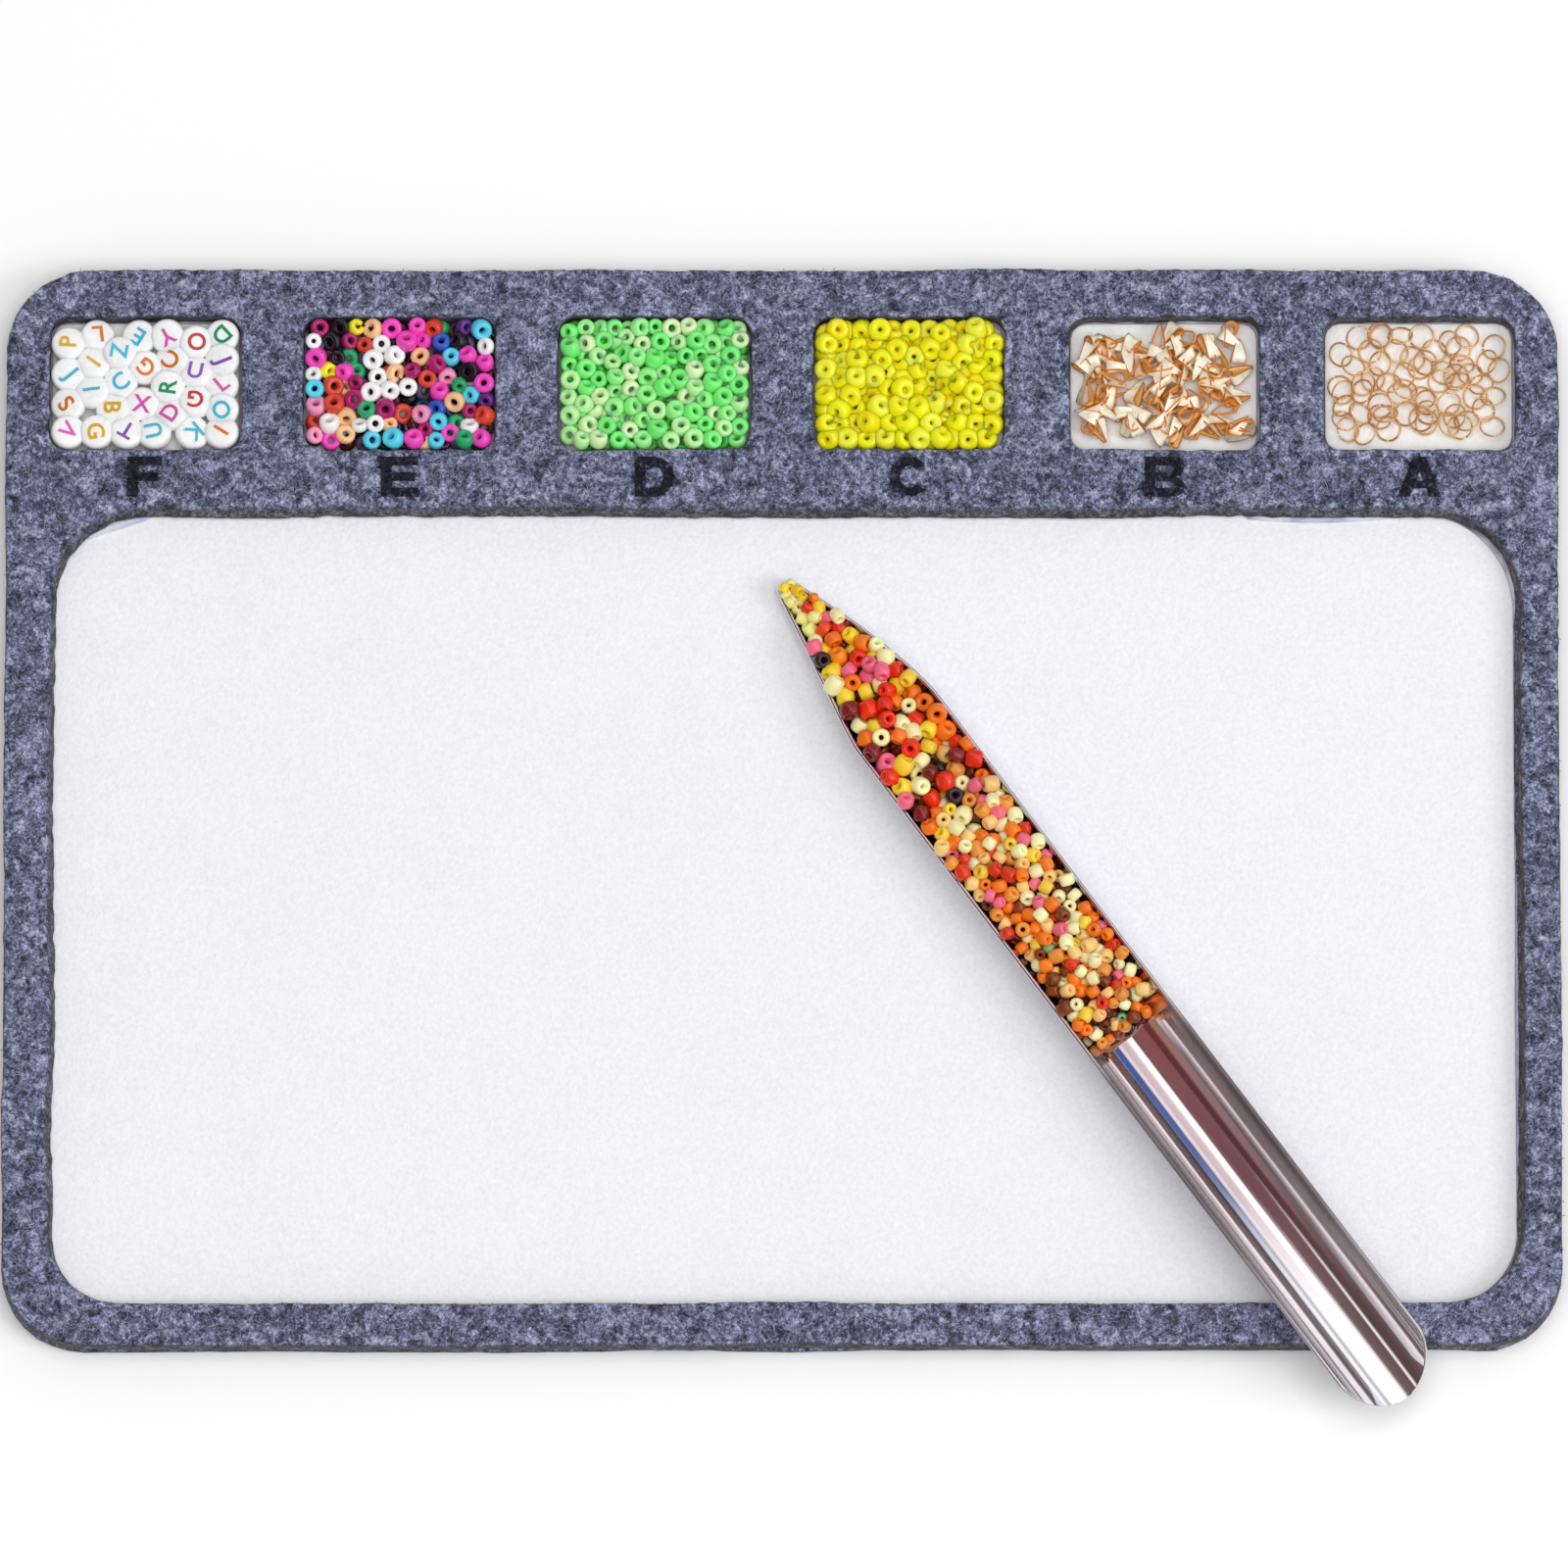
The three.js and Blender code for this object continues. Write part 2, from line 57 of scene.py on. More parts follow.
# Outlines of the felt and what lies in it
MAT_CORNER = 17
WINDOW_TOP_CORNER = 19
WINDOW_BOTTOM_CORNER = 15.5
PANEL_TOP_CORNER = 21
WELL_CORNER = 3.6
INSERT_GAP = 0.4

# Felt and velour slabs
FELT_SLAB = {"rounding": 0.7, "grid": 0.72, "wave": 0.35, "relief": 0.16}
BASE_SLAB = {"rounding": 0.5, "grid": 3.2, "wave": 0.3, "relief": 0.1}
VELOUR_SLAB = {"rounding": 0.35, "grid": 1.5, "wave": 0.1, "relief": 0.03}
FOOT_INSET_SHARE = 0.3
GRID_SHIFT_SHARE = 0.3
GRID_MARGIN_SHARE = 0.6
WAVE_LENGTH = 22
FINE_WAVE_LENGTH = 3.1
FINE_WAVE_SHARE = 0.35
BUMP_LENGTH = 2.3
FINE_BUMP_LENGTH = 1.1
FINE_BUMP_SHARE = 0.7

# The window's wall, by its height over the panel and the side it is on
WALL_START = 0.15
WALL_FOOT = 0.65
WALL_SLOPE = 1.1
WALL_SLOPE_RIGHT = -0.3
WALL_SLOPE_BACK = 0.5
WALL_LEAN = 0.9
WALL_LEAN_BACK = 1.4

# Slivers of film
SLIVER_THICKNESS = 0.1
SLIVER_LIFT = 0.12
SLIVER_WAVE = 0.1
SLIVER_WAVE_LENGTH = 4
SLIVER_CURL = 0.35
SLIVER_STEPS = 18
CORNER_SLIVER_ARC = (131, 82)
CORNER_SLIVER_TUCK = 1
EDGE_SLIVER_SPAN = (96, 127)
EDGE_SLIVER_TUCK = 0.9

# Loose fibres
FIBRE_COUNT = 3600
FIBRE_TRIES = 9 * FIBRE_COUNT
FIBRE_RADIUS = 0.075
FIBRE_TAPER = 0.6
FIBRE_STEPS = 6
FIBRE_LIFT = 0.08
FIBRE_MARGIN = 0.9
LETTER_MARGIN = 0.5
LETTER_FIBRE_TRIES = 260
LETTER_FIBRE_LIFT = 0.02
EDGE_FIBRE_COUNT = 1500
EDGE_FIBRE_ROOT = 0.3
EDGE_FIBRE_FOOT = 0.8
EDGE_FIBRE_TOP = 0.3
EDGE_FIBRE_SPREAD = 0.9

# Beads and findings
FILL_TOP = 9.4
PAD_GAP = 0.1
SIDE_GAP = 0.15
BEAD_FLATNESS = 0.72
BEAD_LEAN = math.radians(42)
BEAD_SIDES = 14
BEAD_STEPS = 10
SHADE_SPREAD = 0.08
COVER_REACH = 0.5
COVER_RISE = 0.25
COIN_COUNT = 29
COIN_DIAMETER = 7.3
COIN_THICKNESS = 3.4
COIN_ROUNDING = 0.9
COIN_SIDES = 28
COIN_TIGHTNESS = 0.9
COIN_LIFT = (0.5, 1.7)
COIN_LEAN = math.radians(13)
LETTER_SIZE = 3.6
LETTER_RISE = 0.035
FONT_SCALE = 1.38
RING_COUNT = 60
RING_DIAMETER = 5.4
RING_WIRE = 0.44
RING_SPLIT = 4
RING_STEPS = 30
WIRE_SIDES = 6
RING_SHIFT = 0.9
RING_LIFT = (0.4, 2.2)
RING_LEAN = math.radians(38)
FINDING_COUNT = 92
FINDING_LENGTH = 5.2
FINDING_BASE = 2.8
FINDING_STRIP = 3.1
FINDING_SHEET = 0.3
FINDING_TAPER = 0.85
FINDING_CUP = 0.35
FINDING_MARGIN_SHARE = 0.62
FINDING_SHIFT_SHARE = 0.15
FINDING_LIFT = (1.9, 2.9)
FINDING_PITCH = 0.2

# How heaps settle
SETTLE_ROUNDS = 140
COIN_ROUNDS = 90
DROP_LOW = 3
DROP_HIGH = 11
FALL = 0.3
SHAKE = 0.3
SHAKE_SHARE = 0.6
PUSH = 0.3
PUSHES = 3
PAIR_ROUNDS = 6
PAIR_REACH = 1.5
LEAST_REACH = 0.05

# Scoop, as in the solid model
SCOOP_LENGTH = 214
SCOOP_WIDTH = 20.8
SCOOP_WALL = 0.8
SCOOP_RIM_ANGLE = math.radians(80)
SPOUT_LENGTH = 38.7
SPOUT_WIDTH = 3.6
SPOUT_LEAN = 0.6
TAIL_LENGTH = 9
TAIL_TIP_WIDTH = 4
SCOOP_HEADING = math.radians(53.6)
SCOOP_OVERHANG = 25.4
SCOOP_SIDE_OFFSET = 38.8
REST_GAP = 0.3
ARC_STEPS = 56
LIP_SHARE = 0.12

# Painted reflection: the steel is drawn darker mauve, satin and less metallic near the scoop's rims
RIM_START = 0.68
RIM_BLEND = 0.2
TAIL_FADE = 45
TAIL_REFLECTION_SHARE = 0.25
LOAD_FADE = 8

# Beads in the scoop, with their sizes by the share of the load's length
LOAD_START = 0.5
LOAD_END = 119
LOAD_HEAP = 3.2
LOAD_TOP = 18.1
LOAD_SLOPE = 6
LOAD_END_SHARE = 0.55
LOAD_COUNT = 830
SPOUT_LOAD_COUNT = 190
LOAD_SIZES = [(0, 1.5), (0.05, 2.3), (0.12, 3.4), (0.3, 4.5), (0.45, 4.3), (0.6, 3.4), (1, 3.1)]
LOAD_SIZE_SPREAD = (0.75, 1)
LOAD_DROP_SIDE = (-4, 4)
LOAD_DROP = (5, 18)
LOAD_TIGHTNESS = 0.92
LOAD_GAP = 0.1
RIM_SPREAD = 0.8
LOAD_ZONES = (0.1, 0.5)
LOAD_ZONE_BLUR = 0.05
LOAD_SHADE_SPREAD = 0.12

# Camera
VIEW_TILT = math.radians(12)
VIEW_DISTANCE = 5000
VIEW_WIDTH = 322.6
VIEW_CENTRE = (0.4, 4.3, 8.2)
SENSOR_WIDTH = 36

# Floor, light and reflection cards, in metres
FLOOR_HALF = 4
FLOOR_DROP = 0.0003
SKY_STRENGTH = 0.43
CARD_RADIUS = 1.2
CARD_LIT = (1.3, 1.3, 1.3, 1)
# Along the scoop the cards glow at the third station and have the tail's colours from the sixth
CARD_STATIONS = (-2.5, -0.13, -0.114, -0.1, -0.07, -0.03, 2.5)


def box_mm(node):
    low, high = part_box(node)
    return np.array(low) / MM, np.array(high) / MM


def grown(box, gap):
    return box[0] - gap, box[1] + gap


def flat_middle(box):
    """A box's centre and half its size, seen from above."""
    low, high = box[0][:2], box[1][:2]
    return (low + high) / 2, (high - low) / 2


mat_box = box_mm("felt_frame")
panel_box = box_mm("work_panel")
window_box = grown(panel_box, INSERT_GAP)
pad_boxes = {label: box_mm("well_pad_" + label) for label in WELL_LABELS}
well_boxes = {label: grown(box, INSERT_GAP) for label, box in pad_boxes.items()}
film_top = mat_box[0][2]
felt_top = mat_box[1][2]
panel_top = panel_box[1][2]
fill_floor = panel_top + PAD_GAP

# Outlines are (box, bottom radius, top radius)
mat_outline = (mat_box, MAT_CORNER, MAT_CORNER)
window_outline = (window_box, WINDOW_BOTTOM_CORNER, WINDOW_TOP_CORNER)
well_outlines = [(box, WELL_CORNER, WELL_CORNER) for box in well_boxes.values()]
frame_outlines = [mat_outline, window_outline, *well_outlines]


def put(thing, **settings):
    """Sets a thing's attributes and returns it."""
    for key, value in settings.items():
        setattr(thing, key, value)
    return thing


def link(name, data):
    """A new object in the scene."""
    made = bpy.data.objects.new(name, data)
    bpy.context.scene.collection.objects.link(made)
    return made


# Materials

def srgb(red, green, blue):
    """A colour from 0 to 255 as linear red, green, blue and alpha."""
    share = np.array([red, green, blue]) / 255
    linear = np.where(share <= 0.04045, share / 12.92, ((share + 0.055) / 1.055) ** 2.4)
    return (*linear.tolist(), 1)


class Look:
    """A new material, with short ways to add nodes to it."""

    def __init__(self, name):
        self.material = put(bpy.data.materials.new(name), use_nodes=True)
        self.tree = self.material.node_tree

    def feed(self, made, inputs):
        """Gives a node its inputs, each a constant or another node's output."""
        for key, value in inputs.items():
            if isinstance(value, bpy.types.NodeSocket):
                self.tree.links.new(value, made.inputs[key])
            else:
                made.inputs[key].default_value = value

    def out(self, kind, output, inputs=None, **settings):
        """An output of a new node."""
        made = put(self.tree.nodes.new("ShaderNode" + kind), **settings)
        self.feed(made, inputs or {})
        return made.outputs[output]

    def noise(self, size, seed, detail=2, distortion=0, roughness=0.5):
        """Noise whose blobs are about that many millimetres across."""
        inputs = {"Vector": self.out("TexCoord", "Object"), "W": seed, "Scale": 1 / (size * MM)}
        inputs.update({"Detail": detail, "Distortion": distortion, "Roughness": roughness})
        return self.out("TexNoise", "Fac", inputs, noise_dimensions="4D")

    def remap(self, value, low, high, to_low=0, to_high=1):
        inputs = {"Value": value, "From Min": low, "From Max": high, "To Min": to_low, "To Max": to_high}
        return self.out("MapRange", "Result", inputs)

    def calc(self, operation, first, second=0):
        return self.out("Math", 0, {0: first, 1: second}, operation=operation)

    def total(self, *parts):
        """The sum of values, each times its weight."""
        result, *others = [self.calc("MULTIPLY", value, weight) for value, weight in parts]
        for value in others:
            result = self.calc("ADD", result, value)
        return result

    def mixed(self, factor, first, second, blend="MIX"):
        return self.out("Mix", 2, {0: factor, 6: first, 7: second}, data_type="RGBA", blend_type=blend)

    def ramp(self, factor, *stops):
        color = self.out("ValToRGB", "Color", {"Fac": factor})
        elements = color.node.color_ramp.elements
        while len(elements) < len(stops):
            elements.new(1)
        for element, (position, tone) in zip(elements, stops):
            put(element, position=position, color=tone)
        return color

    def strands(self, size, seed, sharpness):
        """Thin curly lines, bright where a noise passes its middle."""
        field = self.noise(size, seed, detail=1.5, distortion=0.7)
        away = self.calc("ABSOLUTE", self.calc("SUBTRACT", field, 0.5))
        return self.remap(away, 0, sharpness, 1, 0)

    def painted(self, cloud, dark, clear):
        """The colour that the points carry, tinted dark where a noise is below its clear value."""
        color = self.out("Attribute", "Color", attribute_name="bead_color")
        return self.mixed(1, color, self.ramp(cloud, (0.3, dark), (clear, WHITE)), "MULTIPLY")

    def bump(self, height, depth):
        """Bump as deep as that many millimetres."""
        return self.out("Bump", "Normal", {"Height": height, "Distance": depth * MM})

    def shade(self, color, roughness, specular=0.5, **more):
        """The material, with these inputs of its shader and more by their names."""
        inputs = {"Base Color": color, "Roughness": roughness, "Specular IOR Level": specular}
        inputs.update({key.replace("_", " ").title(): value for key, value in more.items()})
        self.feed(self.tree.nodes["Principled BSDF"], inputs)
        return self.material


# Partly the browner colour of the cut felt edges, partly painted shade: steep walls are drawn darker, as if
# in shadow.
CUT_EDGE_AND_SHADE_TINT = (0.45, 0.4, 0.33, 1)


def felt_material():
    look = Look("blue_grey_felt")
    clumps = look.noise(2.4, 1, distortion=0.8)
    grain = look.noise(0.7, 2, detail=3, distortion=1, roughness=0.65)
    lines = look.calc("ADD", look.strands(1.3, 3, 0.05), look.strands(0.85, 4, 0.06))
    tone = look.total((clumps, 0.44), (grain, 0.56), (lines, 0.05))
    wool = look.ramp(
        tone,
        (0.385, srgb(32, 34, 45)),
        (0.46, srgb(68, 71, 90)),
        (0.525, srgb(102, 106, 132)),
        (0.585, srgb(142, 147, 178)),
        (0.675, srgb(194, 197, 226)),
    )
    # Painted shade, with the cut edge's own browner colour: steep faces such as the walls get the darker
    # tint.
    level = look.calc("ABSOLUTE", look.out("SeparateXYZ", "Z", {0: look.out("NewGeometry", "Normal")}))
    cut = look.mixed(1, wool, CUT_EDGE_AND_SHADE_TINT, "MULTIPLY")
    color = look.mixed(look.remap(level, 0.85, 0.3), wool, cut)
    return look.shade(color, 0.95, 0.15, normal=look.bump(tone, 0.7), sheen_weight=0.1, sheen_roughness=0.6)


def fibre_material():
    look = Look("felt_fibre")
    color = look.ramp(
        look.out("NewGeometry", "Random Per Island"),
        (0, srgb(74, 77, 96)),
        (0.35, srgb(118, 121, 146)),
        (0.7, srgb(158, 161, 188)),
        (1, srgb(198, 199, 220)),
    )
    return look.shade(color, 0.9, 0.2)


def velour_material(name, dark, light):
    look = Look(name)
    pile = look.noise(0.85, 5, detail=3, roughness=0.6)
    tone = look.total((pile, 0.85), (look.noise(14, 6, detail=1), 0.15))
    color = look.ramp(tone, (0.3, dark), (0.7, light))
    return look.shade(color, 0.95, 0.1, normal=look.bump(pile, 0.2), sheen_weight=0.1)


def letter_material():
    look = Look("black_flock")
    tufts = look.noise(1.2, 7, detail=3, distortion=1.2, roughness=0.65)
    color = look.ramp(tufts, (0.35, srgb(24, 25, 31)), (0.55, srgb(44, 45, 55)), (0.7, srgb(92, 95, 114)))
    return look.shade(color, 0.95, 0.1, normal=look.bump(tufts, 0.5))


def film_material():
    look = Look("lilac_film")
    streaks = look.noise(7, 8, distortion=1)
    color = look.ramp(streaks, (0.35, srgb(176, 174, 204)), (0.6, srgb(226, 225, 238)))
    return look.shade(color, 0.32, normal=look.bump(streaks, 0.1))


def bead_material(name, roughness, milkiness):
    """Glossy beads in the colours that their points carry, a little cloudy and translucent."""
    look = Look(name)
    cloud = look.noise(1.6, 9)
    return look.shade(
        look.painted(cloud, (0.9, 0.9, 0.9, 1), 0.65),
        look.remap(cloud, 0.3, 0.7, roughness * 0.7, roughness * 1.4),
        subsurface_weight=milkiness,
        subsurface_radius=(1, 0.8, 0.6),
        subsurface_scale=2 * MM,
        coat_weight=0.25,
        coat_roughness=0.1,
    )


def copper_material():
    look = Look("copper_wire")
    tone = look.noise(3, 10)
    color = look.ramp(tone, (0.35, srgb(212, 150, 80)), (0.65, srgb(246, 202, 134)))
    return look.shade(color, look.remap(tone, 0.3, 0.7, 0.225, 0.39), metallic=0.5)


def strip_material():
    """Satin gilt strip in the colours that its points carry."""
    look = Look("folded_gilt")
    stain = look.noise(1.8, 11, detail=3)
    color = look.painted(stain, (0.86, 0.76, 0.62, 1), 0.5)
    return look.shade(color, look.remap(stain, 0.3, 0.7, 0.34, 0.55), metallic=0.1)


def steel_material():
    """Mirror steel with a painted reflection: darker mauve, satin and less metallic by the rim share that the
    points carry.
    """
    look = Look("polished_steel")
    rim = look.out("Attribute", "Fac", attribute_name="rim_reflection_share")
    smear = look.noise(26, 10)
    bright = look.ramp(smear, (0.35, srgb(226, 222, 224)), (0.65, srgb(240, 238, 240)))
    # Painted reflection: the darker mauve colour that the rims get.
    painted_reflection = look.ramp(smear, (0.35, srgb(112, 98, 104)), (0.65, srgb(134, 118, 122)))
    satin = look.calc("MULTIPLY", rim, 0.25)
    roughness = look.calc("ADD", look.remap(smear, 0.3, 0.7, 0.05, 0.09), satin)
    return look.shade(look.mixed(rim, bright, painted_reflection), roughness, metallic=look.remap(rim, 0, 1, 1, 0.3))


def card_material(name):
    """A card that glows in the colours that its points carry."""
    look = Look(name)
    look.tree.nodes.remove(look.tree.nodes["Principled BSDF"])
    color = look.out("Attribute", "Color", attribute_name="bead_color")
    glow = look.out("Emission", "Emission", {"Color": color})
    look.feed(look.tree.nodes["Material Output"], {"Surface": glow})
    look.material.cycles.emission_sampling = "NONE"
    return look.material


FELT = felt_material()
FIBRE = fibre_material()
VELOUR = velour_material("white_velour", srgb(234, 234, 240), srgb(249, 249, 253))
# Painted light: the pads get a whiter copy of the velour, against the shade in the deep wells.
LIT_PAD_VELOUR = velour_material("pad_velour", srgb(250, 249, 248), srgb(255, 255, 254))
LETTER = letter_material()
FILM = film_material()
SEED_MILKY = bead_material("seed_bead_milky", 0.2, 0.75)
SEED_SOLID = bead_material("seed_bead_solid", 0.14, 0.04)
COIN_GLOSS = bead_material("letter_bead_gloss", 0.28, 0.3)
COPPER = copper_material()
GILT = strip_material()
STEEL = steel_material()


# Meshes

def make_mesh(name, points, faces, material):
    mesh = bpy.data.meshes.new(name)
    mesh.from_pydata(np.asarray(points).tolist(), [], faces)
    mesh.materials.append(material)
    return link(name, mesh)


def paint_points(piece, colors):
    attribute = piece.data.attributes.new("bead_color", "FLOAT_COLOR", "POINT")
    attribute.data.foreach_set("color", np.asarray(colors, np.float32).ravel())


def make_piece(name, shape, material, body, replaced=None):
    """A piece from points, faces and, where its points carry them, colours."""
    points, faces, *colors = shape
    piece = make_mesh(name, np.asarray(points) * MM, faces, material)
    piece.data.shade_smooth()
    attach(piece, body)
    if replaced:
        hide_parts(replaced)
    if colors:
        paint_points(piece, colors[0])
    return piece


def grid_faces(ids):
    """Faces between the rows and columns of a grid of point numbers."""
    return np.stack([ids[:-1, :-1], ids[:-1, 1:], ids[1:, 1:], ids[1:, :-1]], 2).reshape(-1, 4).tolist()


def tube_sides(ids):
    """Faces round a tube, from rows of point numbers that each go once round it."""
    return grid_faces(np.column_stack([ids, ids[:, 0]]))


def tube(rows, sides):
    """Faces round a tube and over its ends."""
    ids = np.arange(rows * sides).reshape(rows, sides)
    return tube_sides(ids) + [ids[0, ::-1].tolist(), ids[-1].tolist()]


def turned(faces):
    """Faces that look the other way."""
    return [face[:1] + face[:0:-1] for face in faces]


def leftward(path):
    """The direction to the left of a flat path, at each of its points."""
    ahead = np.gradient(path, axis=0)
    return np.column_stack([-ahead[:, 1], ahead[:, 0]]) / np.linalg.norm(ahead, axis=1)[:, None]


def smooth_noise(points, cell, seed):
    """Smooth noise from -1 to 1 over a lattice with that cell size."""
    points = np.asarray(points, float) / cell
    corner = np.floor(points)
    part = points - corner
    part = part * part * (3 - 2 * part)
    steps = np.array([127.1, 311.7, 74.7])[: points.shape[1]]
    total = np.zeros(len(points))
    for offset in np.ndindex(*(2,) * points.shape[1]):
        wave = np.sin((corner + offset) @ steps + seed * 19.19) * 43758.5453
        value = 2 * (wave - np.floor(wave)) - 1
        total += value * np.prod(np.where(np.array(offset) == 1, part, 1 - part), axis=1)
    return total


# Felt and velour slabs

def rounded_loop(box, bottom_radius, top_radius, step):
    """Points round a box with rounded corners, anticlockwise, and the outward direction at each."""
    (left, bottom), (right, top) = box[0][:2], box[1][:2]
    corners = [
        (right - bottom_radius, bottom + bottom_radius, bottom_radius, -90),
        (right - top_radius, top - top_radius, top_radius, 0),
        (left + top_radius, top - top_radius, top_radius, 90),
        (left + bottom_radius, bottom + bottom_radius, bottom_radius, 180),
    ]
    points, normals = [], []
    for index, (x, y, radius, start) in enumerate(corners):
        count = max(3, round(radius * math.pi / 2 / step))
        turn = np.radians(start + 90 * np.arange(count + 1) / count)
        direction = np.stack([np.cos(turn), np.sin(turn)], 1)
        arc = np.array([x, y]) + radius * direction
        next_x, next_y, next_radius, _ = corners[(index + 1) % 4]
        following = np.array([next_x, next_y]) + next_radius * direction[-1]
        cuts = round(np.linalg.norm(following - arc[-1]) / step)
        share = np.arange(1, cuts) / cuts
        edge = arc[-1] + share[:, None] * (following - arc[-1])
        points += [arc, edge]
        normals += [direction, np.repeat(direction[-1:], len(edge), 0)]
    return np.concatenate(points), np.concatenate(normals)


def outline_depth(points, box, bottom_radius, top_radius):
    """How far each point lies outside a rounded box, less than zero inside."""
    centre, half = flat_middle(box)
    offset = points - centre
    radius = np.where(offset[:, 1] > 0, top_radius, bottom_radius)
    reach = np.abs(offset) - half + radius[:, None]
    return np.minimum(reach.max(1), 0) + np.linalg.norm(np.maximum(reach, 0), axis=1) - radius


def inside(points, outlines, margin, window_margin=0):
    """Which points lie inside the first outline and outside the others, that far from the edges."""
    kept = outline_depth(points, *outlines[0]) < -margin
    for index, hole in enumerate(outlines[1:]):
        kept &= outline_depth(points, *hole) > margin + (window_margin if index == 0 else 0)
    return kept


def runs_round(faces, count):
    """Which triangles have all corners on a loop of that many points, in the loop's own order."""
    on_loop = ((faces >= 0) & (faces < count)).all(1)
    laps = ((np.roll(faces, -1, 1) - faces) % count).sum(1)
    return on_loop & (laps == count)


def flat_cap(loops, inner):
    """Triangles over an area inside the first loop and outside the others, through the inner points."""
    points = np.concatenate([*loops, inner])
    starts = np.cumsum([0] + [len(loop) for loop in loops])
    edges = []
    for start, end in zip(starts, starts[1:]):
        ids = np.arange(start, end)
        edges += np.stack([ids, np.roll(ids, -1)], 1).tolist()
    made = delaunay_2d_cdt([Vector(p) for p in points.tolist()], edges, [], 1, 1e-6)
    source = np.array([ids[0] for ids in made[3]])
    faces = source[np.array(made[2])]
    for start, loop in zip(starts[1:], loops[1:]):
        faces = faces[~runs_round(faces - start, len(loop))]
    return points, faces.tolist()


def slab_profile(low, high, rounding, grid):
    """Steps up a slab's wall as (inset, height), from its bottom edge to its rounded top edge."""
    steps = max(2, round((high - low - rounding) / grid))
    profile = [(FOOT_INSET_SHARE * rounding, low)]
    profile += [(0.0, low + (high - rounding - low) * k / steps) for k in range(1, steps + 1)]
    for turn in np.radians([30, 60, 90]):
        profile.append((rounding * (1 - math.cos(turn)), high - rounding * (1 - math.sin(turn))))
    return profile


def wall_lean(normal, height):
    """How far the window's wall stands over the panel: most at its foot, and in front not at all."""
    to_right = normal[:, 0]
    to_back = np.maximum(normal[:, 1], 0)
    side = 1 - np.maximum(-normal[:, 1], 0)
    above = np.clip((height - panel_top - WALL_START) / (WALL_FOOT - WALL_START), 0, 1)
    share = np.clip((height - panel_top - WALL_FOOT) / (felt_top - panel_top - WALL_FOOT), 0, 1)
    slope = WALL_SLOPE + WALL_SLOPE_RIGHT * to_right + WALL_SLOPE_BACK * to_back
    return side * above * (slope * (0.5 - share) + WALL_LEAN * (WALL_LEAN_BACK * to_back - to_right))


def inner_grid(outlines, margin, grid, seed):
    """Slightly shifted grid points over a slab, that far from its edges."""
    low, high = outlines[0][0]
    xs = np.arange(low[0], high[0], grid)
    ys = np.arange(low[1], high[1], grid)
    points = np.stack(np.meshgrid(xs, ys), 2).reshape(-1, 2)
    shift = np.column_stack([smooth_noise(points, grid, seed), smooth_noise(points, grid, seed + 1)])
    points = points + GRID_SHIFT_SHARE * grid * shift
    return points[inside(points, outlines, margin, WALL_SLOPE + WALL_LEAN)]


def soft_slab(outlines, low, high, seed, rounding, grid, wave, relief):
    """A slab with soft rounded edges. Its second outline, where it has holes, is the window."""
    loops, normals, aways = [], [], []
    for outline in outlines:
        loop, normal = rounded_loop(*outline, grid)
        ripple = wave * smooth_noise(loop, WAVE_LENGTH, seed)
        ripple += FINE_WAVE_SHARE * wave * smooth_noise(loop, FINE_WAVE_LENGTH, seed + 1)
        aways.append(-normal if loops else normal)
        loops.append(loop + normal * ripple[:, None])
        normals.append(normal)
    profile = slab_profile(low, high, rounding, grid)
    rims = []
    for inset, height in profile:
        leans = [np.zeros(len(loop)) for loop in loops]
        if len(loops) > 1:
            leans[1] = wall_lean(normals[1], height)
        rims.append([loop + away * (lean - inset)[:, None] for loop, away, lean in zip(loops, aways, leans)])
    inner = inner_grid(outlines, rounding + wave + GRID_MARGIN_SHARE * grid, grid, seed + 2)
    top_points, top_faces = flat_cap(rims[-1], inner)
    bottom_points, bottom_faces = flat_cap(rims[0], np.zeros((0, 2)))
    ring = len(bottom_points)
    layers = len(profile) - 1
    points = [np.column_stack([np.concatenate(rim), np.full(ring, height)])
              for rim, (_, height) in zip(rims[:-1], profile)]
    points.append(np.column_stack([top_points, np.full(len(top_points), high)]))
    points = np.concatenate(points)
    bumps = smooth_noise(points, BUMP_LENGTH, seed + 4)
    bumps = relief * (bumps + FINE_BUMP_SHARE * smooth_noise(points, FINE_BUMP_LENGTH, seed + 5))
    top_start = ring * layers
    walls = slice(ring, top_start)
    points[walls, :2] += np.tile(np.concatenate(aways), (layers - 1, 1)) * bumps[walls, None]
    points[top_start:, 2] += bumps[top_start:]
    faces = [face[::-1] for face in bottom_faces]
    start = 0
    for loop in loops:
        quads = tube_sides(np.arange(start, start + len(loop)) + ring * np.arange(layers + 1)[:, None])
        faces += [quad[::-1] for quad in quads] if start else quads
        start += len(loop)
    faces += [[i + top_start for i in face] for face in top_faces]
    return points, faces


def add_felt_frame():
    shape = soft_slab(frame_outlines, film_top, felt_top, 1, **FELT_SLAB)
    piece = make_piece("frame_felt", shape, FELT, "mat", "felt_frame")


def add_sheet(name, solid, corners, slab, material, slot, under, seed):
    low, high = box_mm(solid)
    shape = soft_slab([((low, high), *corners)], low[2], high[2], seed, **slab)
    piece = make_piece(name, shape, material, "mat", solid)


